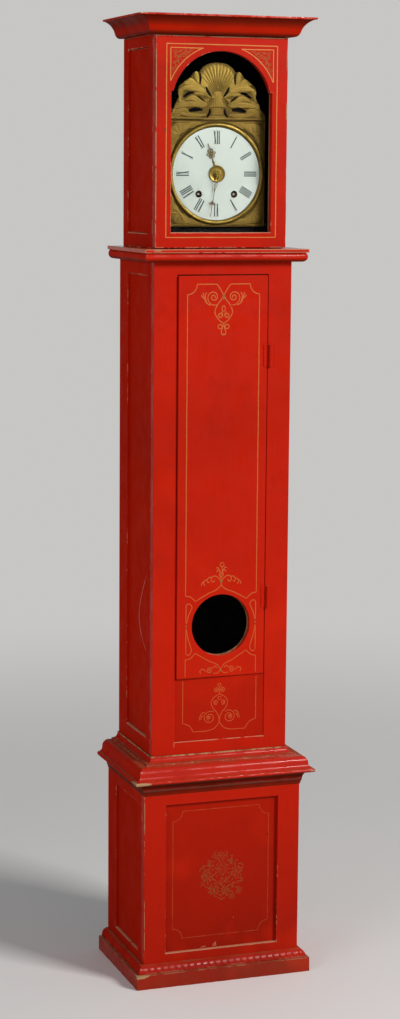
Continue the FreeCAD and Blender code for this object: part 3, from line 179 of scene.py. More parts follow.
def grid_faces(rows, columns, close_rows=False, close_columns=False):
    """Quads between neighbouring rows and columns of a grid of points, wrapped round where asked."""
    r = np.arange(rows if close_rows else rows - 1)
    c = np.arange(columns if close_columns else columns - 1)
    r, c = (a.ravel() for a in np.meshgrid(r, c, indexing="ij"))
    r2, c2 = (r + 1) % rows, (c + 1) % columns
    return np.column_stack([r * columns + c, r * columns + c2, r2 * columns + c2, r2 * columns + c])


def tube_faces(rings, n, closed=False):
    """The faces of a tube made of rings with n points each. Each end is shut by one face, or the tube is closed."""
    ends = [] if closed else [np.arange(n)[None, :] + ring * n for ring in (0, rings - 1)]
    return [grid_faces(rings, n, closed, True)] + ends


def joined(parts):
    """Several (points, faces) pairs as one mesh, with the face numbers moved along."""
    points, faces, start = [], [], 0
    for p, groups in parts:
        points.append(p)
        for group in groups if isinstance(groups, list) else [groups]:
            faces += (np.asarray(group) + start).tolist()
        start += len(p)
    return np.concatenate(points), faces


def piece(name, parts, materials, body, nodes=(), closed=True, marks=None, sharp=None):
    """A finished piece: one mesh from its parts, with numbers for its materials to read, normals turned outwards,
    the body it rides on and the CAD nodes it stands for."""
    points, faces = joined(parts)
    mesh = bpy.data.meshes.new(name)
    mesh.from_pydata(points.tolist(), [], faces)
    for key, values in (marks or {}).items():
        layer = mesh.attributes.new(key, "FLOAT", "POINT")
        layer.data.foreach_set("value", np.asarray(values, np.float32))
    obj = bpy.data.objects.new(name, mesh)
    bpy.context.scene.collection.objects.link(obj)
    if closed:
        turn_outwards(mesh)
    mesh.shade_smooth()
    if sharp:
        mesh.set_sharp_from_angle(angle=math.radians(sharp))
    for material in materials:
        mesh.materials.append(finish(material))
    if body:
        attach(obj, body)
    if nodes:
        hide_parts(*nodes)
    return obj


def turn_outwards(mesh):
    """Closes poles and seams, and makes the faces of each shell point out of it."""
    work = bmesh.new()
    work.from_mesh(mesh)
    bmesh.ops.remove_doubles(work, verts=work.verts, dist=1e-7)
    bmesh.ops.recalc_face_normals(work, faces=work.faces)
    work.to_mesh(mesh)
    work.free()


def rounded(obj, width, material=None):
    """Rounds the sharp edges; the rounded strip takes the material with that number."""
    bevel = obj.modifiers.new("Rounded edges", "BEVEL")
    bevel.width = width
    bevel.segments = 2
    bevel.limit_method = "ANGLE"
    bevel.angle_limit = SHARP_EDGE
    bevel.harden_normals = True
    bevel.use_clamp_overlap = True
    if material is not None:
        bevel.material = material
    return obj


def of_faces(mesh, key):
    """The middles or normals of all faces as one array."""
    values = np.zeros(len(mesh.polygons) * 3)
    mesh.polygons.foreach_get(key, values)
    return values.reshape(-1, 3)


def inside_faces(obj, test, number):
    """Gives the faces whose middle passes the test the material with that number."""
    numbers = np.zeros(len(obj.data.polygons), np.int32)
    obj.data.polygons.foreach_get("material_index", numbers)
    numbers[test(of_faces(obj.data, "center"))] = number
    obj.data.polygons.foreach_set("material_index", numbers)


def rectangle(x0, x1, z0, z1):
    """The four corners of a rectangle, in the order of its outline."""
    return np.array([(x0, z0), (x1, z0), (x1, z1), (x0, z1)], float)


def circle(x, z, radius, count=96):
    """Points on a circle, by cosine and sine of even steps of angle."""
    a = np.arange(count) * TURN / count
    return np.column_stack([x + radius * np.cos(a), z + radius * np.sin(a)])


def crossing(outline, middle, angles):
    """Where rays from the middle at these angles meet a closed outline: each ray against each side at once."""
    p = outline - middle
    e = np.roll(p, -1, axis=0) - p
    d = np.column_stack([np.cos(angles), np.sin(angles)])
    below = d[:, :1] * e[None, :, 1] - d[:, 1:] * e[None, :, 0]
    below = np.where(abs(below) < 1e-12, 1e-12, below)
    far = (p[None, :, 0] * e[None, :, 1] - p[None, :, 1] * e[None, :, 0]) / below
    along = (p[None, :, 0] * d[:, 1:] - p[None, :, 1] * d[:, :1]) / below
    far = np.where((along > -1e-6) & (along < 1 + 1e-6) & (far > 0), far, np.inf).min(axis=1)
    return middle + d * far[:, None]


def holed(rings, middle):
    """A board with a hole, from closed outlines with their depths, each the next ring of its skin. All of them are
    read along the same rays from the middle, and each ring is joined to the next by quads."""
    middle = np.array(middle, float)
    every = np.concatenate([outline for outline, _ in rings]) - middle
    angles = np.round(np.mod(np.arctan2(every[:, 1], every[:, 0]), TURN), 6)
    angles = np.unique(np.where(angles > 6.28318, 0, angles))
    hits = [(crossing(outline, middle, angles), y) for outline, y in rings]
    points = np.concatenate([np.column_stack([p[:, 0], np.full(len(p), y), p[:, 1]]) for p, y in hits])
    return points, grid_faces(len(rings), len(angles), True, True)


def plate(x0, x1, y0, y1, z0, z1):
    """A plain board: its eight corners and six sides."""
    points = np.array([(x, y, z) for x in (x0, x1) for y in (y0, y1) for z in (z0, z1)], float)
    faces = [(0, 1, 3, 2), (4, 6, 7, 5), (0, 4, 5, 1), (2, 3, 7, 6), (0, 2, 6, 4), (1, 5, 7, 3)]
    return points, np.array(faces)


def turned_in_plan(points, x, y, angle):
    """Points turned about an upright line through x and y."""
    c, s = math.cos(angle), math.sin(angle)
    out = np.array(points, float)
    dx, dy = points[:, 0] - x, points[:, 1] - y
    out[:, 0], out[:, 1] = x + c * dx - s * dy, y + s * dx + c * dy
    return out


def side_place(points, x_out, side):
    """Moves a plate made in the front plane to a side: its X becomes Y, and its depth runs inwards from x_out."""
    return np.column_stack([side * (x_out - points[:, 1]), points[:, 0], points[:, 2]])


# Curves in a plane, in millimetres

def flowing(points, steps=10):
    """A smooth line through the points: between neighbours it is the cubic whose slopes are half the step
    from the point before to the point after."""
    p = np.array(points, float)
    p = np.concatenate([[2 * p[0] - p[1]], p, [2 * p[-1] - p[-2]]])
    t = np.linspace(0, 1, steps, endpoint=False)[None, :, None]
    a, b, c, d = (p[i:len(p) - 3 + i][:, None, :] for i in range(4))
    line = 0.5 * (2 * b + (c - a) * t + (2 * a - 5 * b + 4 * c - d) * t ** 2 + (3 * b - a - 3 * c + d) * t ** 3)
    return np.concatenate([line.reshape(-1, 2), p[-2:-1]])


def spiral(x, z, start, end, from_angle, to_angle, count=40):
    """A curl round x and z: its radius goes from start to end by equal ratios as the angle runs on."""
    t = np.linspace(0, 1, count)
    a = np.radians(from_angle + (to_angle - from_angle) * t)
    r = start * (end / start) ** t
    return np.column_stack([x + r * np.cos(a), z + r * np.sin(a)])


def oval(x, z, rx, rz, count=24):
    """A closed oval round a point."""
    a = np.linspace(0, TURN, count)
    return np.column_stack([x + rx * np.cos(a), z + rz * np.sin(a)])


def both_sides(lines):
    """The lines, and the same lines mirrored left to right."""
    return lines + [np.asarray(p, float) * (-1, 1) for p in lines]


def stroke(line, width, lift, taper):
    """A brush stroke along a line: three points across, its edges half the width to each side on the surface and
    its middle lifted, narrowed towards the ends by the taper."""
    p = np.asarray(line, float) * MM
    run = np.gradient(p, axis=0)
    run /= np.maximum(np.linalg.norm(run, axis=1, keepdims=True), 1e-9)
    across = np.column_stack([-run[:, 1], run[:, 0]])
    t = np.linspace(0, 1, len(p))
    unsteady = 1 + 0.12 * np.sin(9.1 * TURN * t + p[:, 0] * 310 + p[:, 1] * 170)
    half = width / 2 * unsteady * (1 - taper + taper * np.sin(np.pi * t) ** 0.6)
    rows = [p - across * half[:, None], p, p + across * half[:, None]]
    depth = (np.zeros(len(p)), np.full(len(p), lift), np.zeros(len(p)))
    points = np.concatenate([np.column_stack([r[:, 0], -h, r[:, 1]]) for r, h in zip(rows, depth)])
    return points, grid_faces(3, len(p))


def line_work(name, lines, share, face_y, material, taper=0.0, body="case", place=None, axis=1):
    """Brush strokes on a face of the case, each a hair proud of the paint, that look against the axis. Their width is
    a share of the gold lines' width."""
    parts = [stroke(line, share * sizes().gilt_line, LIFT, taper) for line in lines]
    for points, _ in parts:
        points[:, 1] += face_y - LAYER
    if place is not None:
        parts = [(place(points), faces) for points, faces in parts]
    face_front(piece(name, parts, [material], body, closed=False).data, axis)


def face_front(mesh, axis=1):
    """Turns every face of a flat piece towards the front, or for axis 0 towards the left."""
    work = bmesh.new()
    work.from_mesh(mesh)
    bmesh.ops.reverse_faces(work, faces=[face for face in work.faces if face.normal[axis] > 0])
    work.to_mesh(mesh)
    work.free()


# Materials

UPRIGHT = (1, 1, 0.05)  # marks drawn out upwards
LYING = (0.06, 0.06, 1)  # and sideways
INSIDE_HALF = 0.158  # half the hood's width within the panels of its sides
TRUNK_WIDER = 0.008  # how much further the panels of trunk and base stand out on each side
HOOD_FOOT = 1.808
INSIDE_FRONT = -0.068
INSIDE_BACK = 0.1594


class Finish:
    """One node material that reads Object coordinates."""

    def __init__(self, name, **sockets):
        self.material = bpy.data.materials.new(name)
        self.material.use_nodes = True
        self.tree = self.material.node_tree
        self.shader = self.tree.nodes["Principled BSDF"]
        self.place = self.tree.nodes.new("ShaderNodeTexCoord").outputs["Object"]
        for socket, value in sockets.items():
            self.shader.inputs[socket.replace("_", " ")].default_value = value

    def node(self, kind, feeds=(), **settings):
        """A node with its settings, and its inputs fed from sockets or values."""
        node = self.tree.nodes.new("ShaderNode" + kind)
        for key, value in settings.items():
            setattr(node, key, value)
        for number, value in feeds:
            if isinstance(value, bpy.types.NodeSocket):
                self.tree.links.new(value, node.inputs[number])
            elif value is not None:
                node.inputs[number].default_value = value
        return node

    def stretched(self, x, y, z):
        """The place, drawn out along the axes by their factors."""
        return self.node("Mapping", [(0, self.place), ("Scale", (x, y, z))]).outputs[0]

    def noise(self, scale, detail, rough=0.55, stretch=None):
        """Cloudy noise from 0 to 1."""
        where = self.stretched(*stretch) if stretch else self.place
        return self.node("TexNoise", [("Vector", where), ("Scale", scale), ("Detail", detail),
                                      ("Roughness", rough)]).outputs[0]

    def cells(self, scale, stretch=None, feature="F1"):
        """The distance from the nearest of many scattered points, or from the cells' edges."""
        where = self.stretched(*stretch) if stretch else self.place
        return self.node("TexVoronoi", [("Vector", where), ("Scale", scale)], feature=feature).outputs["Distance"]

    def band(self, value, low, high, start=0.0, end=1.0):
        """The value brought from low..high to start..end, smoothly."""
        return self.node("MapRange", [(0, value), (1, low), (2, high), (3, start), (4, end)],
                         interpolation_type="SMOOTHSTEP").outputs[0]

    def sum(self, a, b):
        """Two values added."""
        return self.node("Math", [(0, a), (1, b)], operation="ADD").outputs[0]

    def product(self, a, b):
        """Two values multiplied."""
        return self.node("Math", [(0, a), (1, b)], operation="MULTIPLY").outputs[0]

    def mix(self, share, a, b):
        """Colour a turned towards colour b by the share."""
        def colour(v):
            return v if isinstance(v, bpy.types.NodeSocket) else (*v, 1.0)
        return self.node("Mix", [(0, share), (6, colour(a)), (7, colour(b))], data_type="RGBA").outputs[2]

    def within(self):
        """1 inside the case: nearer the middle than the panels of its sides, behind the doors and before the back."""
        across = self.node("Math", [(0, self.axis("X"))], operation="ABSOLUTE").outputs[0]
        across = self.sum(across, self.band(self.axis("Z"), HOOD_FOOT - 1 * MM, HOOD_FOOT, -TRUNK_WIDER, 0.0))
        deep = self.product(self.band(self.axis("Y"), INSIDE_FRONT, INSIDE_FRONT + 1 * MM),
                            self.band(self.axis("Y"), INSIDE_BACK + 0.5 * MM, INSIDE_BACK))
        return self.product(self.band(across, INSIDE_HALF, INSIDE_HALF - 0.5 * MM), deep)

    def axis(self, letter):
        """One coordinate of the place."""
        split = self.node("SeparateXYZ", [(0, self.place)])
        return split.outputs["XYZ".index(letter)]

    def facing(self, letter):
        """How far a face looks along an axis: that part of its normal."""
        normal = self.node("NewGeometry").outputs["Normal"]
        return self.node("SeparateXYZ", [(0, normal)]).outputs["XYZ".index(letter)]

    def marked(self, name):
        """A number that the piece's points carry."""
        return self.node("Attribute", attribute_name=name).outputs["Fac"]

    def relief(self, height, depth, strength):
        """Adds the height to the surface's bump."""
        before = self.shader.inputs["Normal"].links
        node = self.node("Bump", [("Strength", strength), ("Distance", depth), ("Height", height)])
        if before:
            self.tree.links.new(before[0].from_socket, node.inputs["Normal"])
        self.tree.links.new(node.outputs[0], self.shader.inputs["Normal"])

    def paint(self, colour):
        """Gives the surface its colour."""
        self.tree.links.new(colour, self.shader.inputs["Base Color"])

    def dull(self, rough):
        """Gives the surface its roughness."""
        self.tree.links.new(rough, self.shader.inputs["Roughness"])


MADE = {}


def finish(name):
    """The material of that name, made at its first use."""
    if name not in MADE:
        MADE[name] = RECIPES[name](name)
    return MADE[name]


def old_paint(f, grain=(1, 1, 0.06), fade=0.55, deep=0.0, grime=0.0):
    """The colour of old red oil paint: cloudy red and brown, browner low down, with brush marks along the board and
    brown dust on its tops, and painted shade on faces that look down."""
    c = colours()
    cloud = f.product(f.band(f.noise(1.7, 3), 0.42, 0.7), 0.40)
    low = f.band(f.axis("Z"), 0.66, 0.05, deep, deep + 0.38)
    tone = f.mix(f.sum(cloud, low), c.red, c.brown_red)
    tone = f.mix(f.product(f.band(f.noise(13, 5, 0.6), 0.52, 0.74), 0.30), tone, c.brown_red)
    warm = [min(1.0, v) for v in (c.red[0] * 1.18, c.red[1] * 1.5, c.red[2] * 1.3)]
    tone = f.mix(f.product(f.band(f.noise(6.5, 2), 0.5, 0.75), 0.5), tone, warm)
    marks = f.noise(170, 3, 0.6, grain)
    tone = f.mix(f.product(f.band(marks, 0.44, 0.62), 0.07), tone, c.brown_red)
    chips = f.product(f.band(f.cells(95), 0.045, 0.03), f.band(f.noise(5, 2), 0.60, 0.66))
    tone = f.mix(f.product(chips, 0.6), tone, c.primer)
    if grime:
        tone = f.mix(f.product(f.band(f.noise(8, 4, 0.6), 0.35, 0.65, 0.5, 1.0), grime), tone, c.dust)
    up = f.facing("Z")
    dusty = f.product(f.band(up, 0.80, 0.98), f.band(f.noise(38, 4, 0.65), 0.36, 0.6, 0.35, 1.0))
    tone = f.mix(f.product(dusty, fade), tone, c.dust)
    # Painted shade: faces that look down are darkened.
    return f.mix(f.band(up, -0.10, -0.80, 0.0, 0.70), tone, c.painted_shade), marks


def painted_finish(name, grain, fade=0.55, gloss=0.36, shine=0.07, deep=0.0, grime=0.0):
    """Old red paint with worn edges, dust and painted shade in its corners, painted shade underneath, below a
    moulding's lip and inside the case, and bare wood where asked.
    """
    f = Finish(name, Specular_IOR_Level=shine)
    tone, marks = old_paint(f, grain, fade, deep, grime)
    edge = f.product(f.marked("wear"), f.band(f.noise(36, 5, 0.7), 0.46, 0.56))
    tone = f.mix(f.product(edge, 0.8), tone, colours().primer)
    # Inward corners are darkened towards dust and painted shade.
    dirt = f.product(f.marked("grime"), f.band(f.noise(26, 4, 0.6), 0.3, 0.6, 0.45, 0.9))
    tone = f.mix(dirt, tone, [(a + b) / 2 for a, b in zip(colours().dust, colours().painted_shade)])
    # Painted shade below the lip of a moulding.
    tone = f.mix(f.product(f.marked("under"), f.band(f.noise(30, 4), 0.3, 0.7, 0.8, 1.0)), tone, colours().painted_shade)
    bare = f.band(f.sum(f.marked("bare"), f.product(f.noise(70, 5, 0.7), 0.8)), 0.72, 0.86)
    # Inside the case the paint gives way to near-black: painted shade.
    f.paint(f.mix(f.within(), f.mix(bare, tone, colours().bare_wood), colours().inside))
    f.dull(f.band(f.noise(24, 4), 0.3, 0.7, gloss - 0.05, gloss + 0.17))
    f.relief(f.noise(11, 3), 1.1 * MM, 0.35)
    f.relief(marks, 0.12 * MM, 0.35)
    return f.material


def rubbed_edge(name, amount, tops=0.24):
    """Paint worn through on an edge: patches of primer with bare wood in their middle."""
    f = Finish(name, Specular_IOR_Level=0.12)
    c = colours()
    tone, _ = old_paint(f)
    patch = f.sum(f.noise(34, 6, 0.72), f.product(f.noise(3.2, 2), 0.5))
    # Edges that look up are paler: wear there, and painted highlight of light from above.
    patch = f.sum(patch, f.band(f.facing("Z"), 0.1, 0.6, 0.0, tops))
    low = 1.06 - 0.42 * amount
    worn = f.band(patch, low, low + 0.07)
    deep = f.band(patch, low + 0.05, low + 0.14)
    tone = f.mix(worn, tone, f.mix(f.noise(90, 3), c.primer, [v * 0.8 for v in c.primer]))
    tone = f.mix(f.product(deep, 0.5), tone, c.bare_wood)
    # Inside the case the edge gives way to near-black: painted shade.
    f.paint(f.mix(f.within(), tone, c.inside))
    f.dull(f.band(patch, 0.5, 0.8, 0.4, 0.7))
    f.relief(worn, 0.12 * MM, 0.6)
    return f.material


def gilt_paint(name, gold, strength, wear, deep=0.0, low=1.0):
    """A gold line in old paint, thin and broken where it is rubbed, and fainter low down."""
    f = Finish(name, Specular_IOR_Level=0.2)
    red, _ = old_paint(f, deep=deep)
    thin = f.product(f.band(f.noise(42, 5, 0.7), *wear), f.band(f.axis("Z"), 0.70, 1.25, strength * low, strength))
    shade = f.mix(f.noise(150, 3), gold, [v * 0.72 for v in gold])
    f.paint(f.mix(thin, red, shade))
    f.dull(f.band(f.noise(80, 3), 0.3, 0.7, 0.3, 0.5))
    f.relief(f.noise(300, 2), 0.05 * MM, 0.4)
    return f.material


def raw_pine(name, x=1.0, z=0.07, dark=0.0):
    """Bare pine: year rings as distorted bands, drawn out along the board, with fine grain and grey dirt."""
    f = Finish(name, Specular_IOR_Level=0.25)
    rings = f.node("TexWave", [("Vector", f.stretched(x, 1, z)), ("Scale", 22), ("Distortion", 6.5), ("Detail", 3),
                               ("Detail Scale", 1.4)], wave_type="BANDS",
                   bands_direction="X" if x == 1 else "Y").outputs[0]
    grain = f.noise(230, 4, 0.6, (x / 2, 1, z) if x < 1 else (1, 1, z / 2))
    tone = f.mix(f.band(rings, 0.2, 0.9), (0.32, 0.17, 0.075), (0.21, 0.10, 0.042))
    tone = f.mix(f.product(f.band(grain, 0.4, 0.65), 0.4), tone, (0.10, 0.05, 0.022))
    tone = f.mix(f.product(f.band(f.noise(5, 4), 0.45, 0.7), 0.5), tone, (0.09, 0.055, 0.033))
    knots = f.band(f.cells(3.1, (1, 1, 0.45)), 0.06, 0.03)
    f.paint(f.mix(dark, f.mix(knots, tone, (0.05, 0.02, 0.01)), (0.03, 0.017, 0.010)))
    f.dull(f.band(grain, 0.3, 0.7, 0.62, 0.85))
    f.relief(grain, 0.25 * MM, 0.6)
    return f.material


def dark_inside(name):
    """Painted shade: old wood inside the case, made near-black for the shadow that fills it."""
    f = Finish(name, Specular_IOR_Level=0.0)
    grain = f.noise(210, 4, 0.6, (1, 1, 0.04))
    inside = colours().inside
    f.paint(f.mix(grain, inside, [v * 2.2 for v in inside]))
    f.dull(f.band(grain, 0.3, 0.7, 0.8, 0.95))
    f.relief(grain, 0.2 * MM, 0.4)
    return f.material


def back_pine(name):
    """Raw pine on the outside of the back boards, near black on their inside as painted shade."""
    f = Finish(name, Specular_IOR_Level=0.08)
    grain = f.noise(230, 4, 0.6, (1, 1, 0.035))
    rings = f.node("TexWave", [("Vector", f.stretched(1, 1, 0.06)), ("Scale", 18), ("Distortion", 7),
                               ("Detail", 3)], wave_type="BANDS").outputs[0]
    tone = f.mix(f.band(rings, 0.2, 0.9), (0.25, 0.138, 0.066), (0.205, 0.108, 0.05))
    tone = f.mix(f.product(f.band(f.noise(4, 4, 0.6), 0.42, 0.68), 0.45), tone, (0.12, 0.07, 0.04))
    tone = f.mix(f.product(f.band(grain, 0.4, 0.65), 0.5), tone, (0.08, 0.045, 0.025))
    seams = f.band(f.node("Math", [(0, f.axis("X")), (1, 0.118)], operation="PINGPONG").outputs[0], 0.0012, 0.0004)
    tone = f.mix(seams, tone, (0.015, 0.008, 0.005))
    # Painted shade on the inner face.
    inner = f.band(f.axis("Y"), BACK - 3.5 * MM, BACK - 4.5 * MM)
    f.paint(f.mix(inner, tone, colours().inside))
    f.dull(f.band(grain, 0.3, 0.7, 0.7, 0.9))
    f.relief(grain, 0.3 * MM, 0.6)
    return f.material


def brass(name, colour, tarnish, rough, grain):
    """Old lacquered brass, darker and browner in patches."""
    f = Finish(name, Metallic=0.9, Specular_IOR_Level=0.5)
    dark = [colour[0] * 0.34, colour[1] * 0.27, colour[2] * 0.22]
    spots = f.band(f.noise(grain, 6, 0.65), 0.42, 0.68)
    broad = f.band(f.noise(14, 3), 0.4, 0.7)
    tone = f.mix(f.product(f.sum(spots, broad), tarnish), colour, dark)
    f.paint(tone)
    f.dull(f.band(spots, 0, 1, rough, rough + 0.22))
    f.relief(f.noise(grain * 5, 3), 0.06 * MM, 0.5)
    return f.material


def pressed_brass(name):
    """Stamped gilt sheet: a stippled ground, browner low down and towards its edges, with bright high parts."""
    f = Finish(name, Metallic=0.85, Specular_IOR_Level=0.3)
    c = colours().brass
    high = f.marked("height")
    dark = [c[0] * 0.20, c[1] * 0.15, c[2] * 0.14]
    stipple = f.cells(420)
    patches = f.band(f.noise(45, 5, 0.65), 0.36, 0.66)
    tone = f.mix(f.product(patches, 0.45), c, [c[0] * 0.55, c[1] * 0.50, c[2] * 0.42])
    tone = f.mix(f.band(high, 0.3, 0.85, 0.85, 0.0), tone, dark)
    tone = f.mix(f.band(f.axis("Z"), 2.235, 2.125, 0.0, 0.55), tone, [c[0] * 0.34, c[1] * 0.28, c[2] * 0.24])
    # Pierced parts are not cut through: they are painted near-black, as painted shade of the dark behind the holes.
    pierced = f.marked("pierced")
    f.paint(f.mix(pierced, tone, (0.004, 0.004, 0.004)))
    f.dull(f.sum(f.band(high, 0.3, 1.0, 0.68, 0.50), f.product(pierced, 0.3)))
    f.relief(f.noise(140, 5, 0.6), 0.5 * MM, 0.5)
    f.relief(stipple, 0.25 * MM, 0.5)
    return f.material


def enamel_white(name):
    """Off-white enamel with grey clouds and a few hair cracks."""
    f = Finish(name, Specular_IOR_Level=0.55, Coat_Weight=0.6, Coat_Roughness=0.06)
    c = colours().enamel
    tone = f.mix(f.product(f.band(f.noise(16, 3), 0.35, 0.7), 0.35), c, [c[0] * 0.86, c[1] * 0.90, c[2] * 0.90])
    tone = f.mix(f.product(f.band(f.noise(6, 2), 0.38, 0.62), 0.3), tone, [v * 0.72 for v in c])
    crack = f.product(f.band(f.cells(26, feature="DISTANCE_TO_EDGE"), 0.004, 0.0),
                      f.band(f.noise(9, 2), 0.52, 0.6))
    f.paint(f.mix(f.product(crack, 0.25), tone, (0.25, 0.22, 0.18)))
    f.dull(f.band(f.noise(60, 2), 0.3, 0.7, 0.14, 0.24))
    f.relief(f.noise(26, 2), 0.25 * MM, 0.25)
    return f.material


def plain(name, light, dark, scale, rough, metallic=0.0, depth=0.1, specular=0.5):
    """A simple worn finish: two tones by noise, uneven gloss and a fine bump."""
    f = Finish(name, Metallic=metallic, Specular_IOR_Level=specular)
    cloud = f.noise(scale, 5, 0.62)
    f.paint(f.mix(f.band(cloud, 0.36, 0.66), light, dark))
    f.dull(f.band(cloud, 0.3, 0.7, rough - 0.07, rough + 0.12))
    f.relief(f.noise(scale * 4, 4, 0.6), depth * MM, 0.6)
    return f.material


def clear_glass(name):
    """Old window glass: it bends light, mirrors only at a slant, and lets the lamps through to what is behind it."""
    f = Finish(name, Roughness=0.0, IOR=1.45, Transmission_Weight=1.0)
    f.shader.inputs["Specular Tint"].default_value = (0, 0, 0, 1)
    f.shader.inputs["Base Color"].default_value = (0.96, 0.98, 0.965, 1)
    lamp = f.node("LightPath").outputs["Is Shadow Ray"]
    through = f.node("BsdfTransparent", [(0, (0.97, 0.98, 0.97, 1))])
    both = f.node("MixShader", [(0, lamp), (1, f.shader.outputs[0]), (2, through.outputs[0])])
    f.tree.links.new(both.outputs[0], f.tree.nodes["Material Output"].inputs["Surface"])
    return f.material


def hemp(name):
    """Twisted hemp: fine fibres drawn out along the rope, with darker patches."""
    f = Finish(name, Specular_IOR_Level=0.15)
    fibre = f.noise(900, 4, 0.7, (1, 1, 0.25))
    tone = f.mix(f.band(fibre, 0.35, 0.65), (0.36, 0.26, 0.14), (0.17, 0.11, 0.055))
    f.paint(f.mix(f.product(f.noise(30, 3), 0.4), tone, (0.09, 0.06, 0.035)))
    f.dull(f.band(fibre, 0.3, 0.7, 0.8, 0.95))
    f.relief(fibre, 0.2 * MM, 0.8)
    return f.material


RECIPES = {
    "front_paint": lambda name: painted_finish(name, UPRIGHT),
    "panel_paint": lambda name: painted_finish(name, UPRIGHT, deep=0.32, gloss=0.42, shine=0.05),
    "side_paint": lambda name: painted_finish(name, UPRIGHT, fade=0.65, gloss=0.45, shine=0.005),
    "moulding_paint": lambda name: painted_finish(name, LYING, fade=0.4, gloss=0.13, shine=0.26),
    "moulding_side": lambda name: painted_finish(name, LYING, fade=0.6, gloss=0.4, shine=0.008),
    "ripple_paint": lambda name: painted_finish(name, LYING, fade=0.4, gloss=0.26, shine=0.2, deep=0.1),
    "plinth_paint": lambda name: painted_finish(name, LYING, fade=0.8, gloss=0.4, shine=0.1, deep=0.25,
                                                grime=0.16),
    "edge_light": lambda name: rubbed_edge(name, 0.40),
    "edge_door": lambda name: rubbed_edge(name, 0.30, 0.04),
    "edge_worn": lambda name: rubbed_edge(name, 0.66),
    "edge_bare": lambda name: rubbed_edge(name, 0.95),
    "hinge_paint": lambda name: painted_finish(name, (1, 1, 1), fade=0.7, gloss=0.3),
    "gold_line": lambda name: gilt_paint(name, colours().gold, 0.95, (0.24, 0.4), low=0.60),
    "hood_gold": lambda name: gilt_paint(name, colours().bright_gold, 0.95, (0.2, 0.34)),
    "bare_chip": lambda name: gilt_paint(name, colours().bare_wood, 1.0, (0.38, 0.46)),
    "gold_knot": lambda name: gilt_paint(name, colours().olive, 0.95, (0.24, 0.4)),
    "faded_line": lambda name: gilt_paint(name, colours().gold, 0.32, (0.30, 0.6), 0.32),
    "faded_spray": lambda name: gilt_paint(name, [v * 0.75 for v in colours().olive], 0.50, (0.26, 0.62), 0.32),
    "soft_scratch": lambda name: gilt_paint(name, colours().primer, 0.62, (0.36, 0.56)),
    "dark_knot": lambda name: gilt_paint(name, (0.03, 0.006, 0.004), 0.95, (0.2, 0.35)),
    "pale_scratch": lambda name: gilt_paint(name, colours().primer, 0.95, (0.3, 0.45)),
    "raw_pine": raw_pine,
    "roof_pine": lambda name: raw_pine(name, 0.07, 1.0),
    "old_pine": lambda name: raw_pine(name, dark=0.35),
    "dark_inside": dark_inside,
    "back_pine": back_pine,
    "pressed_brass": pressed_brass,
    "bezel_brass": lambda name: brass(name, colours().brass, 0.28, 0.42, 60),
    "hand_brass": lambda name: brass(name, [v * 0.9 for v in colours().brass], 0.4, 0.36, 140),
    "train_brass": lambda name: brass(name, (0.62, 0.42, 0.14), 0.3, 0.28, 120),
    "bob_brass": lambda name: brass(name, (0.60, 0.38, 0.12), 0.35, 0.24, 40),
    "enamel_white": enamel_white,
    "numeral_black": lambda name: plain(name, colours().numeral, [v * 1.8 for v in colours().numeral], 120, 0.6,
                                        depth=0.02, specular=0.15),
    "black_iron": lambda name: plain(name, (0.018, 0.019, 0.020), (0.05, 0.035, 0.028), 60, 0.6, 0.6, 0.2),
    "cast_iron": lambda name: plain(name, (0.055, 0.052, 0.05), (0.11, 0.06, 0.035), 90, 0.65, 0.7, 0.9),
    "cut_steel": lambda name: plain(name, (0.34, 0.34, 0.35), (0.16, 0.15, 0.145), 130, 0.32, 1.0, 0.05),
    "bell_metal": lambda name: plain(name, (0.42, 0.33, 0.19), (0.25, 0.18, 0.09), 50, 0.3, 0.95, 0.1),
    "clear_glass": clear_glass,
    "hemp": hemp,
}


# Boards of the case

BOARD = BASE[1][1] - BASE[0][1]
DOORWAY_FOOT, DOORWAY_TOP = 0.763, 1.750


def dark_behind(obj, test):
    """The faces inside the case, picked by the place of their middle, take the third material."""
    inside_faces(obj, test, 2)


def front_board(name, node, outer, hole, near, edge="edge_worn"):
    """A front frame round its opening."""
    skin = holed([(outer, near), (hole, near), (hole, near + BOARD), (outer, near + BOARD)], hole.mean(axis=0))
    obj = piece(name, [skin], ["front_paint", edge, "dark_inside"], "case", [node])
    dark_behind(obj, lambda m: m[:, 1] > near + BOARD - 0.1 * MM)
    # The bottom ledge of the opening takes the rubbed edge all over: wear, and painted highlight where it catches the
    # light.
    inside_faces(obj, lambda m: (abs(m[:, 2] - hole[0, 1]) < 0.5 * MM) & (m[:, 1] > near), 1)
    return rounded(obj, sizes().edge, 1)


def side_board(name, node, box, stiles, rails, side):
    """A side frame with a sunk panel, drawn as seen from the front and then turned to the side."""
    (x0, y0, z0), (x1, y1, z1) = box
    outer = rectangle(y0, y1, z0, z1)
    hole = rectangle(y0 + stiles[0] * MM, y1 - stiles[1] * MM, z0 + rails[0] * MM, z1 - rails[1] * MM)
    frame = holed([(outer, 0), (hole, 0), (hole, 14 * MM), (hole, BOARD), (outer, BOARD)], hole.mean(axis=0))
    panel = plate(hole[0, 0], hole[1, 0], 6 * MM, 14 * MM, hole[0, 1], hole[2, 1])
    parts = [(side_place(p, x1, side), f) for p, f in (frame, panel)]
    obj = piece(name, parts, ["side_paint", "edge_worn", "dark_inside"], "case", [node])
    dark_behind(obj, lambda m: abs(m[:, 0]) < x0 + 7 * MM)
    # The bottom ledge of the opening takes the rubbed edge all over: wear, and painted highlight where it catches the
    # light.
    inside_faces(obj, lambda m: (abs(m[:, 2] - hole[0, 1]) < 0.5 * MM) & (abs(m[:, 0]) < x1), 1)
    return rounded(obj, sizes().edge, 1)


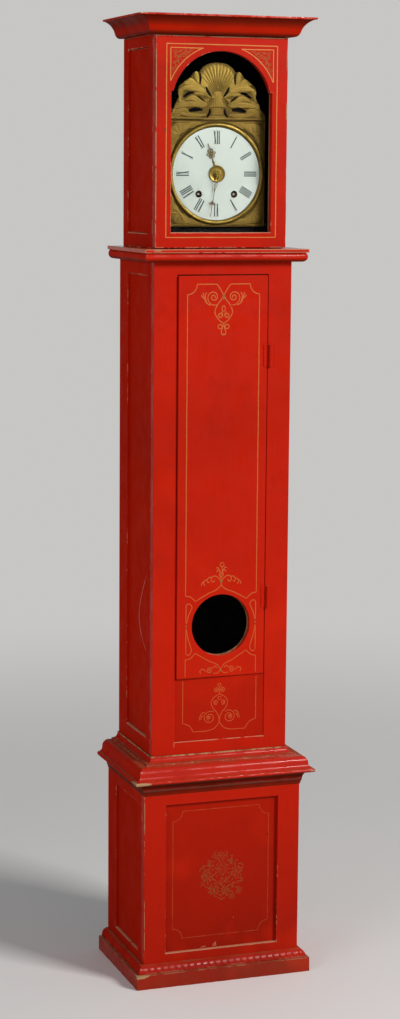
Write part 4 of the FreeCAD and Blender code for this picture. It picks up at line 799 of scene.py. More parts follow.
class CLOCK_OT_boards(Operator):
    """The framed boards of base, trunk and hood, with softened, rubbed edges"""
    bl_idname = "clock.boards"
    bl_label = "Case boards"

    def execute(self, context):
        low, high = BASE
        opening = rectangle(BASE_PANEL[0][0], BASE_PANEL[1][0], BASE_PANEL[0][2], BASE_PANEL[1][2])
        front_board("base_front", "base_front_frame", rectangle(low[0], high[0], low[2], high[2]), opening, low[1])
        low, high = TRUNK
        opening = rectangle(LOWER_PANEL[0][0], LOWER_PANEL[1][0], LOWER_PANEL[0][2], DOORWAY_TOP)
        front_board("trunk_front", "trunk_front_frame", rectangle(low[0], high[0], low[2], high[2]), opening,
                    low[1], edge="edge_light")
        for side, word in ((1, "right"), (-1, "left")):
            side_board(f"base_{word}", f"base_{word}_side", BASE_SIDE, (31, 68), (75, 44), side)
            side_board(f"trunk_{word}", f"trunk_{word}_side", TRUNK_SIDE, (31, 63), (112, 56), side)
            side_board(f"hood_{word}", f"hood_{word}_side", HOOD_SIDE, (40, 36), (34.5, 28.5), side)
        self.stop_strip()
        self.floor_board()
        return {"FINISHED"}

    def stop_strip(self):
        """The strip behind the door's free edge."""
        strip = plate(TRUNK[0][0] + BOARD, LOWER_PANEL[0][0] + 10 * MM, TRUNK[0][1] + BOARD, TRUNK[1][1],
                      DOORWAY_FOOT, DOORWAY_TOP)
        rounded(piece("door_stop", [strip], ["dark_inside"], "case"), sizes().edge)

    def floor_board(self):
        """The board under the hood: rings in plan, with its depth upright."""
        low, high = corners("hood_floor_board")
        outer = rectangle(low[0], high[0], low[1], high[1])
        half = HOOD_SIDE[0][0] - 10 * MM
        hole = rectangle(-half, half, TRUNK[0][1] + 50 * MM, BACK - 42 * MM)
        points, faces = holed([(outer, low[2]), (hole, low[2]), (hole, high[2]), (outer, high[2])], hole.mean(axis=0))
        board = piece("hood_floor", [(points[:, [0, 2, 1]], faces)], ["moulding_paint", "edge_bare", "dark_inside"],
                      "case", ["hood_floor_board"])
        dark_behind(board, lambda m: (abs(m[:, 0]) < half + 12 * MM) & (m[:, 1] > TRUNK[0][1] + 45 * MM)
                    & (m[:, 2] < low[2] + 1 * MM))
        rounded(board, sizes().edge, 1)


# Mouldings

def outline_of(shares, depth, height, soft):
    """A moulding's outline, outward and up, from shares of its depth and height. A pair of points is an arc's middle
    and end, read off the circle through three points. Each sharp corner becomes three points, two of them a little
    way along its sides and the third halfway in to the corner. Returned with a 1 at each outward corner, and a 1 at
    each inward corner."""
    line = [np.array(shares[0], float) * (depth, height)]
    for item in shares[1:]:
        if isinstance(item[0], tuple):
            middle, end = (np.array(p, float) * (depth, height) for p in item)
            line.extend(arc(line[-1], middle, end)[1:])
        else:
            line.append(np.array(item, float) * (depth, height))
    p = np.array(line)
    before, after = p - np.roll(p, 1, axis=0), np.roll(p, -1, axis=0) - p
    lb, la = np.linalg.norm(before, axis=1, keepdims=True), np.linalg.norm(after, axis=1, keepdims=True)
    before, after = before / lb, after / la
    bend = before[:, 0] * after[:, 1] - before[:, 1] * after[:, 0]
    sharp = np.degrees(np.arccos(np.clip((before * after).sum(axis=1), -1, 1))) > 24
    first = p - before * np.minimum(soft, 0.35 * lb)
    last = p + after * np.minimum(soft, 0.35 * la)
    triple = np.stack([first, 0.25 * first + 0.5 * p + 0.25 * last, last], axis=1)
    keep = np.column_stack([sharp, np.ones(len(p), bool), sharp])
    triple[~sharp, 1] = p[~sharp]
    worn, inward_corners = (np.repeat((sharp & side)[:, None], 3, axis=1)[keep].astype(float) for side in (bend > 0, bend < 0))
    return triple[keep], worn, inward_corners


def arc(start, middle, end, steps=9):
    """Points on the circle through three points."""
    ax, az = middle - start
    bx, bz = end - start
    d = 2 * (ax * bz - az * bx)
    a2, b2 = ax * ax + az * az, bx * bx + bz * bz
    centre = start + np.array([bz * a2 - az * b2, ax * b2 - bx * a2]) / d
    t0, t1, t2 = (math.atan2(p[1] - centre[1], p[0] - centre[0]) for p in (start, middle, end))
    turn = (t2 - t0) % TURN
    if (t1 - t0) % TURN > turn:
        turn -= TURN
    t = t0 + np.linspace(0, turn, steps)
    return centre + np.hypot(*(start - centre)) * np.column_stack([np.cos(t), np.sin(t)])


def along_sides(half, face, step, fine=()):
    """Shares of the way along left side, front and right side, closer together at the distances asked for."""
    side, front = BACK - face, 2 * half
    left = np.linspace(0, 1, int(side / step))
    middle = np.linspace(0, 1, int(front / step))[1:-1]
    if len(fine):
        near = np.array(fine) * MM
        left = np.unique(np.concatenate([left, 1 - near / side]))
        middle = np.unique(np.concatenate([middle, near[near > 0] / front]))
    return left, middle, np.linspace(0, 1, int(side / step))


def carried(outline, half, face, z0, steps, wave):
    """The outline carried round left side, front and right side. The way along each side ends where the outline's own
    outward distance says, so that the sides meet in mitres. The wave moves points outward and up."""
    out, up = (v[None, :] for v in outline.T)
    left, front, right = (s[:, None] for s in steps)
    edge = half + out
    rows = [(-edge + 0 * left, BACK + (face - out - BACK) * left),
            (-edge + 2 * edge * front, face - out + 0 * front),
            (edge + 0 * right, face - out + (BACK - face + out) * right)]
    walls = np.repeat([0, 1, 2], [len(left), len(front), len(right)])
    x, y = (np.concatenate([r[i] for r in rows]) for i in (0, 1))
    o, z = np.repeat(out, len(x), axis=0), np.repeat(z0 + up, len(x), axis=0)
    push, lift = wave(x, y, o, z, walls[:, None])
    x = x - np.where(walls[:, None] == 0, -push, np.where(walls[:, None] == 2, push, 0))
    y = y + np.where(walls[:, None] == 1, push, 0)
    z = z + lift
    return np.column_stack([x.ravel(), y.ravel(), z.ravel()]), tube_faces(len(x), len(outline))


def knocks(along, seed, count, depth):
    """Small knocks along an edge: a sum of bells at random places, each of its own width and depth."""
    dice = np.random.default_rng(seed)
    place, wide = dice.uniform(-0.25, 0.25, count), dice.uniform(1.2, 5, count) * MM
    deep = dice.uniform(0.2, 1, count) ** 2 * depth
    return (deep * np.exp(-((along[..., None] - place) / wide) ** 2)).max(axis=-1)


def hand_made(seed, count, depth, tip, ripple=False):
    """The wave of a hand-planed moulding: slow sines along it, knocks where it stands out furthest, and for the foot
    moulding a sine that leans as it climbs, on the front only."""
    def wave(x, y, o, z, wall):
        along = np.where(wall == 1, x, y * 1.3 + wall)
        loose = np.clip(o / (2 * MM), 0, 1)
        sway = 0.5 + 0.3 * np.sin(31 * along + 60 * z) + 0.2 * np.sin(83 * along - 45 * z)
        push = sizes().hand_wave * loose * sway
        out = np.clip((o - (o.max() - tip)) / tip, 0, 1)
        push = push + knocks(np.where(wall == 1, x, y), seed, count, depth) * out
        lift = 0 * z
        if ripple:
            climb = (z - z.min()) / (z.max() - z.min())
            turn = TURN * x / sizes().ripple_pitch + 2.6 * climb
            swing = 0.5 - 0.5 * np.sin(turn + 0.5 * np.sin(turn))
            front = np.where(wall == 1, np.clip((SIDE_LIMIT - abs(x)) / (4 * MM), 0, 1), 0)
            front = front * np.clip(climb * 4, 0, 1) * loose
            push = push + sizes().ripple_swing * swing * front
            lift = lift - 0.45 * sizes().ripple_swing * (1 - swing) * front * np.clip(climb * 1.5 - 0.4, 0, 1)
        return push, lift
    return wave


SIDE_LIMIT = BASE[1][0] + 10 * MM
WAIST_SHARES = [(0, 1), (0.068, 1), (0.068, 0.967), ((0.13, 0.875), (0.288, 0.837)), (0.340, 0.837), (0.340, 0.795),
                (0.407, 0.795), ((0.705, 0.725), (0.764, 0.598)), (0.764, 0.576), ((0.825, 0.503), (0.951, 0.467)),
                ((1.000, 0.418), (0.951, 0.370)), (0.645, 0.370), (0.645, 0.305), ((0.585, 0.235), (0.560, 0.152)),
                (0.560, 0.130), ((0.520, 0.065), (0.4975, 0)), (0.4805, 0), (0.4805, 0.1848), (0, 0.1848)]
CORNICE_SHARES = [(0, 0), (0.200, 0), ((0.330, 0.055), (0.410, 0.190)), (0.435, 0.260),
                  ((0.600, 0.640), (0.930, 0.895)), (1, 0.895), (1, 1), (0, 1)]
ROLL_SHARES = [(0, 0), (0.690, 0), ((1.000, 0.480), (0.850, 1.000)), (0, 1)]
RIPPLE_SHARES = [(0, 0), (1, 0), (1, 0.210), ((0.760, 0.720), (0.120, 1.000)), (0, 1)]


class CLOCK_OT_mouldings(Operator):
    """Cornice, roll, waist, foot moulding and skirting, carried round three sides and mitred"""
    bl_idname = "clock.mouldings"
    bl_label = "Mouldings"

    def execute(self, context):
        self.moulding("waist", "waist_moulding", WAIST_SHARES, WAIST, TRUNK, 3.4, hand_made(3, 46, 1.6 * MM, 4 * MM),
                      0.9, [(-1, 0.418, 20), (1, 0.418, 8)], rubbed=[(0.068, 0.985, 0.40), (0.340, 0.82, 0.30)],
                      lip=0.370)
        self.moulding("cornice_run", "cornice", CORNICE_SHARES, CORNICE, HOOD_DOOR, 3.4,
                      hand_made(5, 26, 1.3 * MM, 3 * MM), 0.30, [(-1, 1.0, 9)])
        self.moulding("roll", "mid_moulding", ROLL_SHARES, ROLL, TRUNK, 5, hand_made(8, 9, 0.5 * MM, 3 * MM), 0.4)
        self.moulding("foot_ripple", "ripple_moulding", RIPPLE_SHARES, RIPPLE, BASE, 1.9,
                      hand_made(9, 8, 0.7 * MM, 3 * MM, ripple=True), 0.5, paint="ripple_paint",
                      rubbed=[(0.08, 1.0, 0.36)])
        self.skirting()
        return {"FINISHED"}

    def moulding(self, name, node, shares, box, frame, step, wave, wear, chips=(), paint="moulding_paint",
                 rubbed=(), lip=0.0):
        """Wear grows with the outward distance. A chip is bare wood round a front corner at a share of the height,
        where each point sinks by how near it is. Bare wood also shows along the rubbed points of the outline, and
        what is below the lip is darkened by painted shade."""
        half, face = frame[1][0], frame[0][1]
        depth, height = box[1][0] - half, box[1][2] - box[0][2]
        outline, worn, inward_corners = outline_of(shares, depth, height, 0.9 * MM)
        worn = worn * wear * (0.3 + 0.7 * np.clip(outline[:, 0] / depth, 0, 1) ** 4)
        points, faces = carried(outline, half, face, box[0][2], along_sides(half, face, step * MM), wave)
        bare = np.tile(sum(amount * (np.hypot(outline[:, 0] / depth - x, outline[:, 1] / height - z) < 0.03)
                           for x, z, amount in rubbed) + 0.0 * outline[:, 0], len(points) // len(outline))
        # Painted shade below the lip.
        under = np.tile(0.72 * (outline[:, 1] < lip * height - 0.2 * MM), len(points) // len(outline))
        for side, share, size in chips:
            corner = np.array([side * (half + depth - 2 * MM), face - depth + 2 * MM, box[0][2] + share * height])
            near = np.clip(1 - np.linalg.norm((points - corner) * (0.36, 0.36, 3.2), axis=1) / (size * MM), 0, 1)
            points[:, 2] -= 0.8 * MM * near * (0.6 + 0.4 * np.sin(points[:, 0] * 900))
            bare = np.maximum(bare, np.clip(near * 1.25, 0, 0.9))
        repeats = len(points) // len(worn)
        # The grime mark darkens inward corners with dust and painted shade.
        marks = {"wear": np.tile(worn, repeats), "grime": np.tile(inward_corners, repeats), "bare": bare, "under": under}
        obj = piece(name, [(points, faces)], [paint, "moulding_side"], "case", [node], marks=marks,
                    sharp=38)
        low = of_faces(obj.data, "normal")[:, 2] < -0.15
        inside_faces(obj, lambda m: (abs(m[:, 0]) - half > face - m[:, 1]) | low, 1)

    def skirting(self):
        """The plinth. At the front left a three-sided chip is taken off its corner: where outward distances x and y
        from the corner add up to less than a limit that falls with depth, both are moved in by half the difference."""
        half, face, high = BASE[1][0], BASE[0][1], PLINTH[1][2]
        depth = PLINTH[1][0] - half
        fine = np.arange(0, 14.5, 1.0)
        outline = np.concatenate([[(0, 0), (depth, 0)], np.column_stack([0 * fine + depth, high - fine[::-1] * MM]),
                                  np.column_stack([depth - fine[1:] * MM, 0 * fine[1:] + high]), [(0, high)]])
        steps = along_sides(half, face, 5 * MM, fine)
        wave = hand_made(12, 30, 1.2 * MM, 2 * MM)
        points, faces = carried(outline, half, face, 0, steps, wave)
        x, y, z = points.T
        gap = (x + half + depth) + (y - face + depth)
        limit = 9.5 * MM * (1 - 1.75 * (high - z) / (13 * MM)) + 0.5 * MM * np.sin(x * 2100) * np.cos(z * 1700)
        move = np.clip(limit - gap, 0, None) / 2
        points[:, 0] += move
        points[:, 1] += move
        outward = np.tile(outline[:, 0], len(x) // len(outline))
        worn = np.where((abs(z - high) < 1.2 * MM) & (outward > depth - 1.2 * MM), 0.55, 0)
        away = np.sqrt(((x + half + depth) / 46) ** 2 + ((y - face + depth) / 16) ** 2 + ((high - z) / 11) ** 2) / MM
        bare = np.maximum(np.clip(move / (0.4 * MM), 0, 1), np.clip(1.4 * (1 - away), 0, 0.62))
        piece("skirting", [(points, faces)], ["plinth_paint"], "case", ["plinth_skirting"],
              marks={"bare": bare, "wear": worn}, sharp=38)


# Doors

HINGE = (0.1215, -0.11185)  # the long door's hinge line, across and deep
AJAR = math.radians(1.5)  # the angle at which the long door stands
HOLE = (0.0, 0.8936, 0.076)  # middle and radius of its window
LONG_DOOR = rectangle(-115, 115, 764.5, 1748.5) * MM  # its outline when shut
LIGHT_HALF, LIGHT_FOOT, LIGHT_TOP = 127.5, 1850.5, 2278  # the hood door's opening, in millimetres
ARCH_HALF, ARCH_FOOT = 122, 2183  # and where its arch starts
REBATE = 7  # how much larger the room for the pane is on all sides


def light(grown=0.0):
    """The upright rectangle round the hood door's opening, grown on all sides by millimetres."""
    half = LIGHT_HALF + grown
    return rectangle(-half, half, LIGHT_FOOT - grown, LIGHT_TOP + grown) * MM


def arched_opening():
    """The hood door's opening: straight sides up to small shoulders, then the circle through three points."""
    rise = arc(*np.array([(ARCH_HALF, ARCH_FOOT), (0, LIGHT_TOP), (-ARCH_HALF, ARCH_FOOT)], float), 61)
    return np.concatenate([[(-LIGHT_HALF, LIGHT_FOOT), (LIGHT_HALF, LIGHT_FOOT), (LIGHT_HALF, ARCH_FOOT)], rise,
                           [(-LIGHT_HALF, ARCH_FOOT)]]) * MM


def ajar(points):
    """Points of the trunk door, turned from shut to the angle at which it stands."""
    return turned_in_plan(points, *HINGE, AJAR)


class CLOCK_OT_doors(Operator):
    """Hood door with its arch and bead, and the long trunk door with its round hole"""
    bl_idname = "clock.doors"
    bl_label = "Doors"

    def execute(self, context):
        self.hood_door()
        self.trunk_door()
        return {"FINISHED"}

    def hood_door(self):
        """The glazed door's skin round its arch, and the bead that holds the pane."""
        low, high = HOOD_DOOR
        outer = rectangle(low[0], high[0], low[2], high[2])
        opening, room = arched_opening(), light(REBATE)
        y = HOOD_GLASS[0][1]
        skin = holed([(outer, low[1]), (opening, low[1]), (opening, y), (room, y), (room, high[1]), (outer, high[1])],
                     HOOD_MIDDLE)
        door = piece("hood_door_leaf", [skin], ["front_paint", "edge_worn", "dark_inside", "old_pine"], "hood_door",
                     ["hood_door_frame"])
        dark_behind(door, lambda m: m[:, 1] > y - 0.1 * MM)
        inside_faces(door, lambda m: m[:, 1] > high[1] - 0.1 * MM, 3)
        rounded(door, sizes().edge, 1)
        inner, inset = light(), light(REBATE - 0.3)
        near, far = HOOD_GLASS[1][1], high[1]
        skin = holed([(inset, near), (inner, near), (inner, far), (inset, far)], HOOD_MIDDLE)
        bead = piece("hood_door_bead", [skin], ["raw_pine"], "hood_door")
        rounded(bead, 0.6 * MM)

    def trunk_door(self):
        """The long door with its round, stepped hole, standing a little ajar."""
        near = TRUNK[0][1]
        far = near + BOARD
        hole = circle(*HOLE)
        step = circle(HOLE[0], HOLE[1], HOLE[2] + 7 * MM)
        points, faces = holed([(LONG_DOOR, near), (hole, near), (hole, far - 8 * MM), (step, far - 8 * MM),
                               (step, far), (LONG_DOOR, far)], HOLE[:2])
        door = piece("trunk_door_leaf", [(points, faces)], ["front_paint", "edge_door", "old_pine"], "trunk_door",
                     ["trunk_door"])
        dark_behind(door, lambda m: m[:, 1] > far - 0.1 * MM)
        door.data.transform(Matrix.Translation((*HINGE, 0)) @ Matrix.Rotation(AJAR, 4, "Z")
                            @ Matrix.Translation((-HINGE[0], -HINGE[1], 0)))
        rounded(door, sizes().edge, 1)


# Painted lines, in millimetres on the face of each board

def straight(x0, z0, x1, z1, step=8.0):
    """A hand-drawn straight line that wanders a little from side to side."""
    count = max(int(math.hypot(x1 - x0, z1 - z0) / step), 6)
    t = np.linspace(0, 1, count)
    drift = 0.22 * np.sin(t * count * 0.35 + x0) * np.sin(np.pi * t)
    along = np.array([x1 - x0, z1 - z0]) / math.hypot(x1 - x0, z1 - z0)
    return np.column_stack([x0 + (x1 - x0) * t - along[1] * drift, z0 + (z1 - z0) * t + along[0] * drift])


def turn_of(x, z, radius, start, end):
    """Part of a circle between two angles."""
    a = np.radians(np.linspace(start, end, 24))
    return np.column_stack([x + radius * np.cos(a), z + radius * np.sin(a)])


def hood_door_lines():
    """The frame lines of the hood door and the arcs over its arch."""
    return both_sides([
        straight(140, 1838.6, 140, 2293), straight(48, 2284, 130, 2284), straight(130, 2284, 130, 2207),
        turn_of(0, 2152.2, 140.7, 22.9, 70), straight(0, 2293, 140, 2293), straight(0, 1838.6, 140, 1838.6)])


def hood_door_sprays():
    """Curls and leaves in the upper corners of the hood door."""
    curls = [spiral(x, z, 4.2, 1.2, turn, turn + 420, 26) for x, z, turn in (
        (106, 2275, 0), (93, 2277.5, 90), (80, 2280.5, 200), (119, 2264, 40), (121.5, 2250, 130), (124.5, 2236, 250),
        (109, 2266, 160), (97, 2268, 300), (117, 2277, 220), (112, 2252, 20), (116, 2240, 80), (86, 2272, 30))]
    fan = curls + [[(112, 2262), (104, 2257), (98, 2249)], [(112, 2262), (102, 2264), (92, 2262)],
           [(112, 2262), (111, 2252), (106, 2242)], [(112, 2262), (119, 2270), (125, 2279)],
           [(112, 2262), (117, 2250), (119, 2238), (125, 2226)], [(112, 2262), (100, 2271), (86, 2274), (72, 2280)],
           [(98, 2249), (95, 2255), (99, 2257)], [(92, 2262), (90, 2268), (95, 2268)],
           [(125, 2226), (121, 2222), (126, 2216)], [(118, 2270), (108, 2276), (98, 2279)]]
    return both_sides([flowing(p, 2 if len(p) > 9 else 10) for p in fan])


def trunk_door_lines():
    """The long door's frame, with strapwork at its head, round its window and at its foot."""
    side = [
        straight(93, 971, 93, 1704), turn_of(93, 1728, 24.5, 270, 180), straight(68.5, 1728, 24, 1728),
        flowing([(24, 1728), (17, 1726.5), (11, 1719), (4.5, 1709), (0, 1701)]),
        flowing([(0, 1701), (7, 1690), (17, 1677), (22.6, 1660), (13, 1643), (0, 1633)]),
        spiral(26, 1697, 21, 3.2, 235, 940, 80), flowing([(34, 1677), (44, 1683), (50, 1694), (54, 1708)]),
        flowing([(44, 1684), (47.5, 1694), (47, 1704), (43.5, 1708)]), flowing([(50, 1694), (55, 1697), (58, 1702)]),
        spiral(9, 1653.5, 7.6, 3.0, 100, 560), oval(9, 1626, 5.2, 5.2), flowing([(0, 1633), (3.6, 1621), (6, 1612)]),
        flowing([(6, 1612), (4, 1607), (0, 1609)]),
        flowing([(0, 1003), (9, 1013), (18, 1017), (26, 1012), (25, 1004), (19, 1002.5), (17.5, 1008)]),
        flowing([(24, 1014), (32, 1014), (37, 1008), (35, 1001.5), (30, 1003)]),
        flowing([(36, 1009), (43, 1007), (46, 1000), (42.5, 994.5)]), flowing([(42, 1007), (50, 1001), (52, 994)]),
        flowing([(0, 1012), (5, 1019), (3, 1027), (9, 1031), (12, 1026)]), flowing([(4, 1029), (9, 1037), (14, 1036)]),
        flowing([(0, 1003), (0.5, 994), (6, 987.5), (16, 981), (32, 975), (50, 966), (67, 956.5)]),
        flowing([(67, 956.5), (80, 968), (93, 971)]),
        flowing([(91, 950), (83, 951), (76, 943), (80, 933), (85, 922), (90, 902)]), straight(91.5, 904, 91.5, 949),
        flowing([(91, 890), (86, 865), (77, 835), (84, 824), (91, 826)]), straight(91.5, 828, 91.5, 888),
        flowing([(67, 827), (50, 817), (30, 805), (10, 796), (0, 783)]), flowing([(67, 827), (80, 815), (93, 812)]),
        straight(93, 812, 93, 770), spiral(28.5, 781, 9, 2.2, 150, -400), flowing([(0, 783), (9, 774), (20, 774.5)]),
        flowing([(38, 779), (46, 786), (54, 782), (52, 774)]), flowing([(9, 787), (16, 792), (19, 787)]),
    ]
    return both_sides(side) + [oval(0, 1669, 4, 7), oval(2, 1044, 5, 5),
                               flowing([(0, 1006), (-2, 1016), (2, 1027), (2, 1039)])]


def trunk_door_knots():
    """The dots where the strapwork of the long door crosses."""
    dots = [(0, 1700.5, 3.4), (0, 1003, 4.6), (91, 896, 1.7), (-91, 896, 1.7),
            (0, 781, 3.2), (0, 1606, 2.2), (0, 1633, 2.0)]
    return [oval(x, z, r / 2, r / 2, 14) for x, z, r in dots] + [oval(0, 1697, 0.8, 5.5, 16)]


def lower_panel_lines():
    """The strapwork of the panel under the long door."""
    side = [
        straight(96, 758, 96, 651), flowing([(96, 651), (85, 647.5), (76, 641), (68, 628)]),
        straight(68, 628, 32, 628), flowing([(32, 628), (16, 632), (6, 640), (0, 650)]),
        flowing([(0, 650), (2, 663), (8, 675), (17, 685), (21.5, 698), (15, 711), (0, 720)]),
        spiral(25.5, 661, 17.5, 6.5, 130, -430, 70), spiral(27, 661, 4.2, 1.6, 0, 500, 30),
        flowing([(38, 674), (44, 674.5), (49.5, 668), (53, 656)]), flowing([(42, 668), (47, 664), (48, 657)]),
        spiral(9.3, 699, 6.6, 2.2, 240, 800, 40), oval(8.3, 730.5, 5.2, 5.2), oval(8.3, 730.5, 1.6, 1.6, 10),
    ]
    return both_sides(side) + [oval(0.5, 709, 4.4, 4.4), oval(0, 742, 4.2, 4.2), straight(0, 720, 0, 737)]


def base_panel_lines():
    """The base panel's frame with hollow corners."""
    return both_sides([straight(126, 411, 126, 135), straight(100, 435, 0, 435), turn_of(126, 435, 25, 270, 180),
                       turn_of(126, 110, 25, 90, 180), straight(101, 110, 0, 110)])


def base_panel_spray():
    """A faded nosegay: each flower is a ring of short petals round a small heart, with a few stems, and small leaves
    between the flowers, spaced by the golden angle with their distance growing by the root of their number."""
    lines = []
    flowers = [(0, 311, 13, 9), (3, 277, 15, 11), (-38, 263, 15, 10), (42, 268, 16, 10), (-17, 224, 14, 9),
               (12, 222, 12, 8), (30, 206, 9, 7), (48, 220, 10, 7), (-30, 292, 7, 6), (27, 296, 7, 6)]
    for x, z, radius, count in flowers:
        turn = np.arange(count) * TURN / count + x
        lines += [flowing([(x + radius * 0.42 * math.cos(t), z + radius * 0.42 * math.sin(t)),
                           (x + radius * 0.75 * math.cos(t + 0.18), z + radius * 0.75 * math.sin(t + 0.18)),
                           (x + radius * math.cos(t), z + radius * math.sin(t))], 4) for t in turn]
        lines.append(oval(x, z, radius * 0.16, radius * 0.16, 10))
    lines += [flowing(p, 6) for p in (
        [(3, 262), (2, 246), (5, 230)], [(-24, 258), (-12, 246), (2, 240)], [(28, 262), (16, 250), (4, 240)],
        [(0, 298), (1, 292), (2, 288)], [(-52, 250), (-47, 242), (-38, 240)], [(-56, 276), (-52, 284), (-44, 286)],
        [(58, 252), (53, 243), (43, 243)], [(60, 280), (54, 288), (45, 288)], [(-36, 236), (-30, 230), (-28, 238)],
        [(24, 238), (30, 232), (36, 238)], [(-6, 206), (2, 200), (12, 204)], [(-12, 326), (-16, 318), (-12, 308)],
        [(13, 326), (17, 318), (14, 308)])]
    k = np.arange(84)
    far, turn = 57 * np.sqrt((k + 0.5) / 84), k * 2.39996
    lean, long = turn + 1.3 + 0.9 * np.sin(k * 1.7), 4.0 + 2.5 * np.sin(k * 2.3) ** 2
    for r, t, a, size in zip(far, turn, lean, long):
        x, z, u, w = 3 + r * math.cos(t), 262 + r * math.sin(t), size * math.cos(a), size * math.sin(a)
        lines.append(flowing([(x - u, z - w), (x - w * 0.3, z + u * 0.3), (x + u, z + w)], 4))
    return lines


class CLOCK_OT_lines(Operator):
    """The gold lines of doors and panels, each a brush stroke just proud of the paint"""
    bl_idname = "clock.lines"
    bl_label = "Gold lines"

    def execute(self, context):
        hood, trunk, panel = HOOD_DOOR[0][1], TRUNK[0][1], BASE_PANEL[0][1]
        line_work("hood_door_gilding", hood_door_lines(), 1, hood, "hood_gold", body="hood_door")
        line_work("hood_door_sprays", hood_door_sprays(), 0.45, hood, "gold_knot", 0.4, "hood_door")
        edge = [straight(-165.6, 1815, -165.6, 2312), straight(-165.6, 2311.6, 165.6, 2311.6),
                straight(165.4, 2236, 165.4, 2300), straight(165.2, 2120, 165.4, 2160)]
        line_work("hood_door_edge_line", edge, 0.9, hood, "bare_chip", 0.3, "hood_door")
        key = [straight(-143.1, 2085.5, -143.1, 2093, 2), oval(-143.1, 2093.2, 1.1, 1.1, 12)]
        line_work("keyhole", key, 1, hood, "black_iron", body="hood_door")
        line_work("trunk_door_gilding", trunk_door_lines(), 1, trunk, "gold_line", 0.12, "trunk_door", place=ajar)
        line_work("trunk_door_knots", trunk_door_knots(), 1.4, trunk - 0.1 * MM, "gold_knot", 0, "trunk_door",
                  place=ajar)
        line_work("lower_panel_gilding", lower_panel_lines(), 0.85, LOWER_PANEL[0][1], "gold_line", 0.12)
        line_work("base_panel_gilding", base_panel_lines(), 0.8, panel, "faded_line")
        line_work("base_panel_spray", base_panel_spray(), 1.25, panel, "faded_spray", 0.6)
        line_work("base_panel_knot", [oval(124, 357, 0.9, 1.5, 12)], 1, panel, "dark_knot")
        corner = [straight(-202.6, 465, -202.7, 388), straight(-202.8, 218, -202.6, 92)]
        line_work("base_corner_wear", corner, 0.55, BASE[0][1], "bare_chip", 0.2)
        spot = [flowing([(-186, 1808.2), (-177, 1808.8), (-168, 1807.8)])]
        line_work("floor_board_chip", spot, 1.6, corners("hood_floor_board")[0][1], "bare_chip", 0.8)
        nicks = [flowing([(-15, 80), (-13, 91), (-11, 80)]), straight(-19, 79.5, -17.5, 88, 2),
                 straight(-52, 81, -38, 83, 3), straight(34, 149, 35.5, 151, 1)]
        line_work("base_panel_nicks", nicks, 0.7, panel, "pale_scratch", 0.5)
        tick = [straight(-119, 607, -119, 594, 2), straight(-119, 605.2, -60, 605.2)]
        line_work("ledge_tick", tick, 0.7, trunk, "pale_scratch", 0.5)
        scratch = [flowing([(-52, 1031), (-18, 985), (14, 930), (16, 890), (-6, 852), (-40, 823)])]
        line_work("side_scratch", scratch, 1.5, 0, "soft_scratch", 0.7, axis=0,
                  place=lambda p: side_place(p, TRUNK_SIDE[1][0] - 6 * MM, -1))
        return {"FINISHED"}


# Dial

NUMERALS = ["XII", "I", "II", "III", "IIII", "V", "VI", "VII", "VIII", "IX", "X", "XI"]


def dome(radius):
    """The dial's front: it falls back from its middle by the square of the share of its radius."""
    rim = DIAL[1][0]
    return DIAL[0][1] + 3 * MM * (radius / rim) ** 2


def numeral_bars(word):
    """The strokes of a Roman numeral: across and up at both ends and width, with heights as shares."""
    bars, x = [], 0.0
    for letter in word:
        if letter == "I":
            bars += [(x + 2.2, 0, x + 2.2, 1, 2.9)]
            bars += [(x + 0.3, v, x + 4.1, v, 0) for v in (0, 1)]
            x += 4.5
        else:
            bars += [(x + 1.9, 1, x + (5.9 if letter == "X" else 3.9), 0, 3.1),
                     (x + 5.9, 1, x + (1.9 if letter == "X" else 3.9), 0, 0.9)]
            bars += [(x + a, v, x + a + 3.4, v, 0) for v in ((0, 1) if letter == "X" else (1,)) for a in (0.2, 4.2)]
            x += 8.0
    return bars, x


def numerals():
    """Every stroke is a strip cut level at both ends, laid out across and up and then placed round the dial."""
    parts = []
    for hour, word in enumerate(NUMERALS):
        bars, width = numeral_bars(word)
        angle = TURN * hour / 12
        for x0, v0, x1, v1, wide in bars:
            t = np.linspace(0, 1, 7)
            across = x0 + (x1 - x0) * t - width / 2
            up = NUMERAL_FOOT + (v0 + (v1 - v0) * t) * sizes().numeral_height / MM
            if wide:
                rows = [(across + s * wide / 2, up) for s in (-1, 1)]
            else:
                rows = [(across, up + s * 0.28) for s in (-1, 1)]
            u = np.concatenate([r[0] for r in rows]) * MM
            r = np.concatenate([r[1] for r in rows]) * MM
            x, z = r * math.sin(angle) + u * math.cos(angle), r * math.cos(angle) - u * math.sin(angle)
            parts.append((np.column_stack([x, dome(np.hypot(x, z)) - LAYER, DIAL_Z + z]), grid_faces(2, len(t))))
    return parts


def minute_dots():
    """Sixty small dots near the rim, larger at the hours, each with eight corners."""
    parts = []
    for minute in range(60):
        angle, size = TURN * minute / 60, (0.75 if minute % 5 == 0 else 0.45) * MM
        a = np.arange(8) * TURN / 8
        x = MINUTE_TRACK * math.sin(angle) + size * np.cos(a)
        z = MINUTE_TRACK * math.cos(angle) + size * np.sin(a)
        parts.append((np.column_stack([x, dome(np.hypot(x, z)) - LAYER, DIAL_Z + z]), np.arange(8)[None, :]))
    return parts


def lathe(profile, x, z, turns=72):
    """A ring or disc about a line along Y: radius and depth points carried round by cosine and sine."""
    p = np.array(profile, float)
    a = np.arange(turns) * TURN / turns
    grid = np.stack([x + p[None, :, 0] * np.cos(a)[:, None], 0 * a[:, None] + p[None, :, 1],
                     z + p[None, :, 0] * np.sin(a)[:, None]], axis=-1)
    return grid.reshape(-1, 3), grid_faces(turns, len(p), True, True)


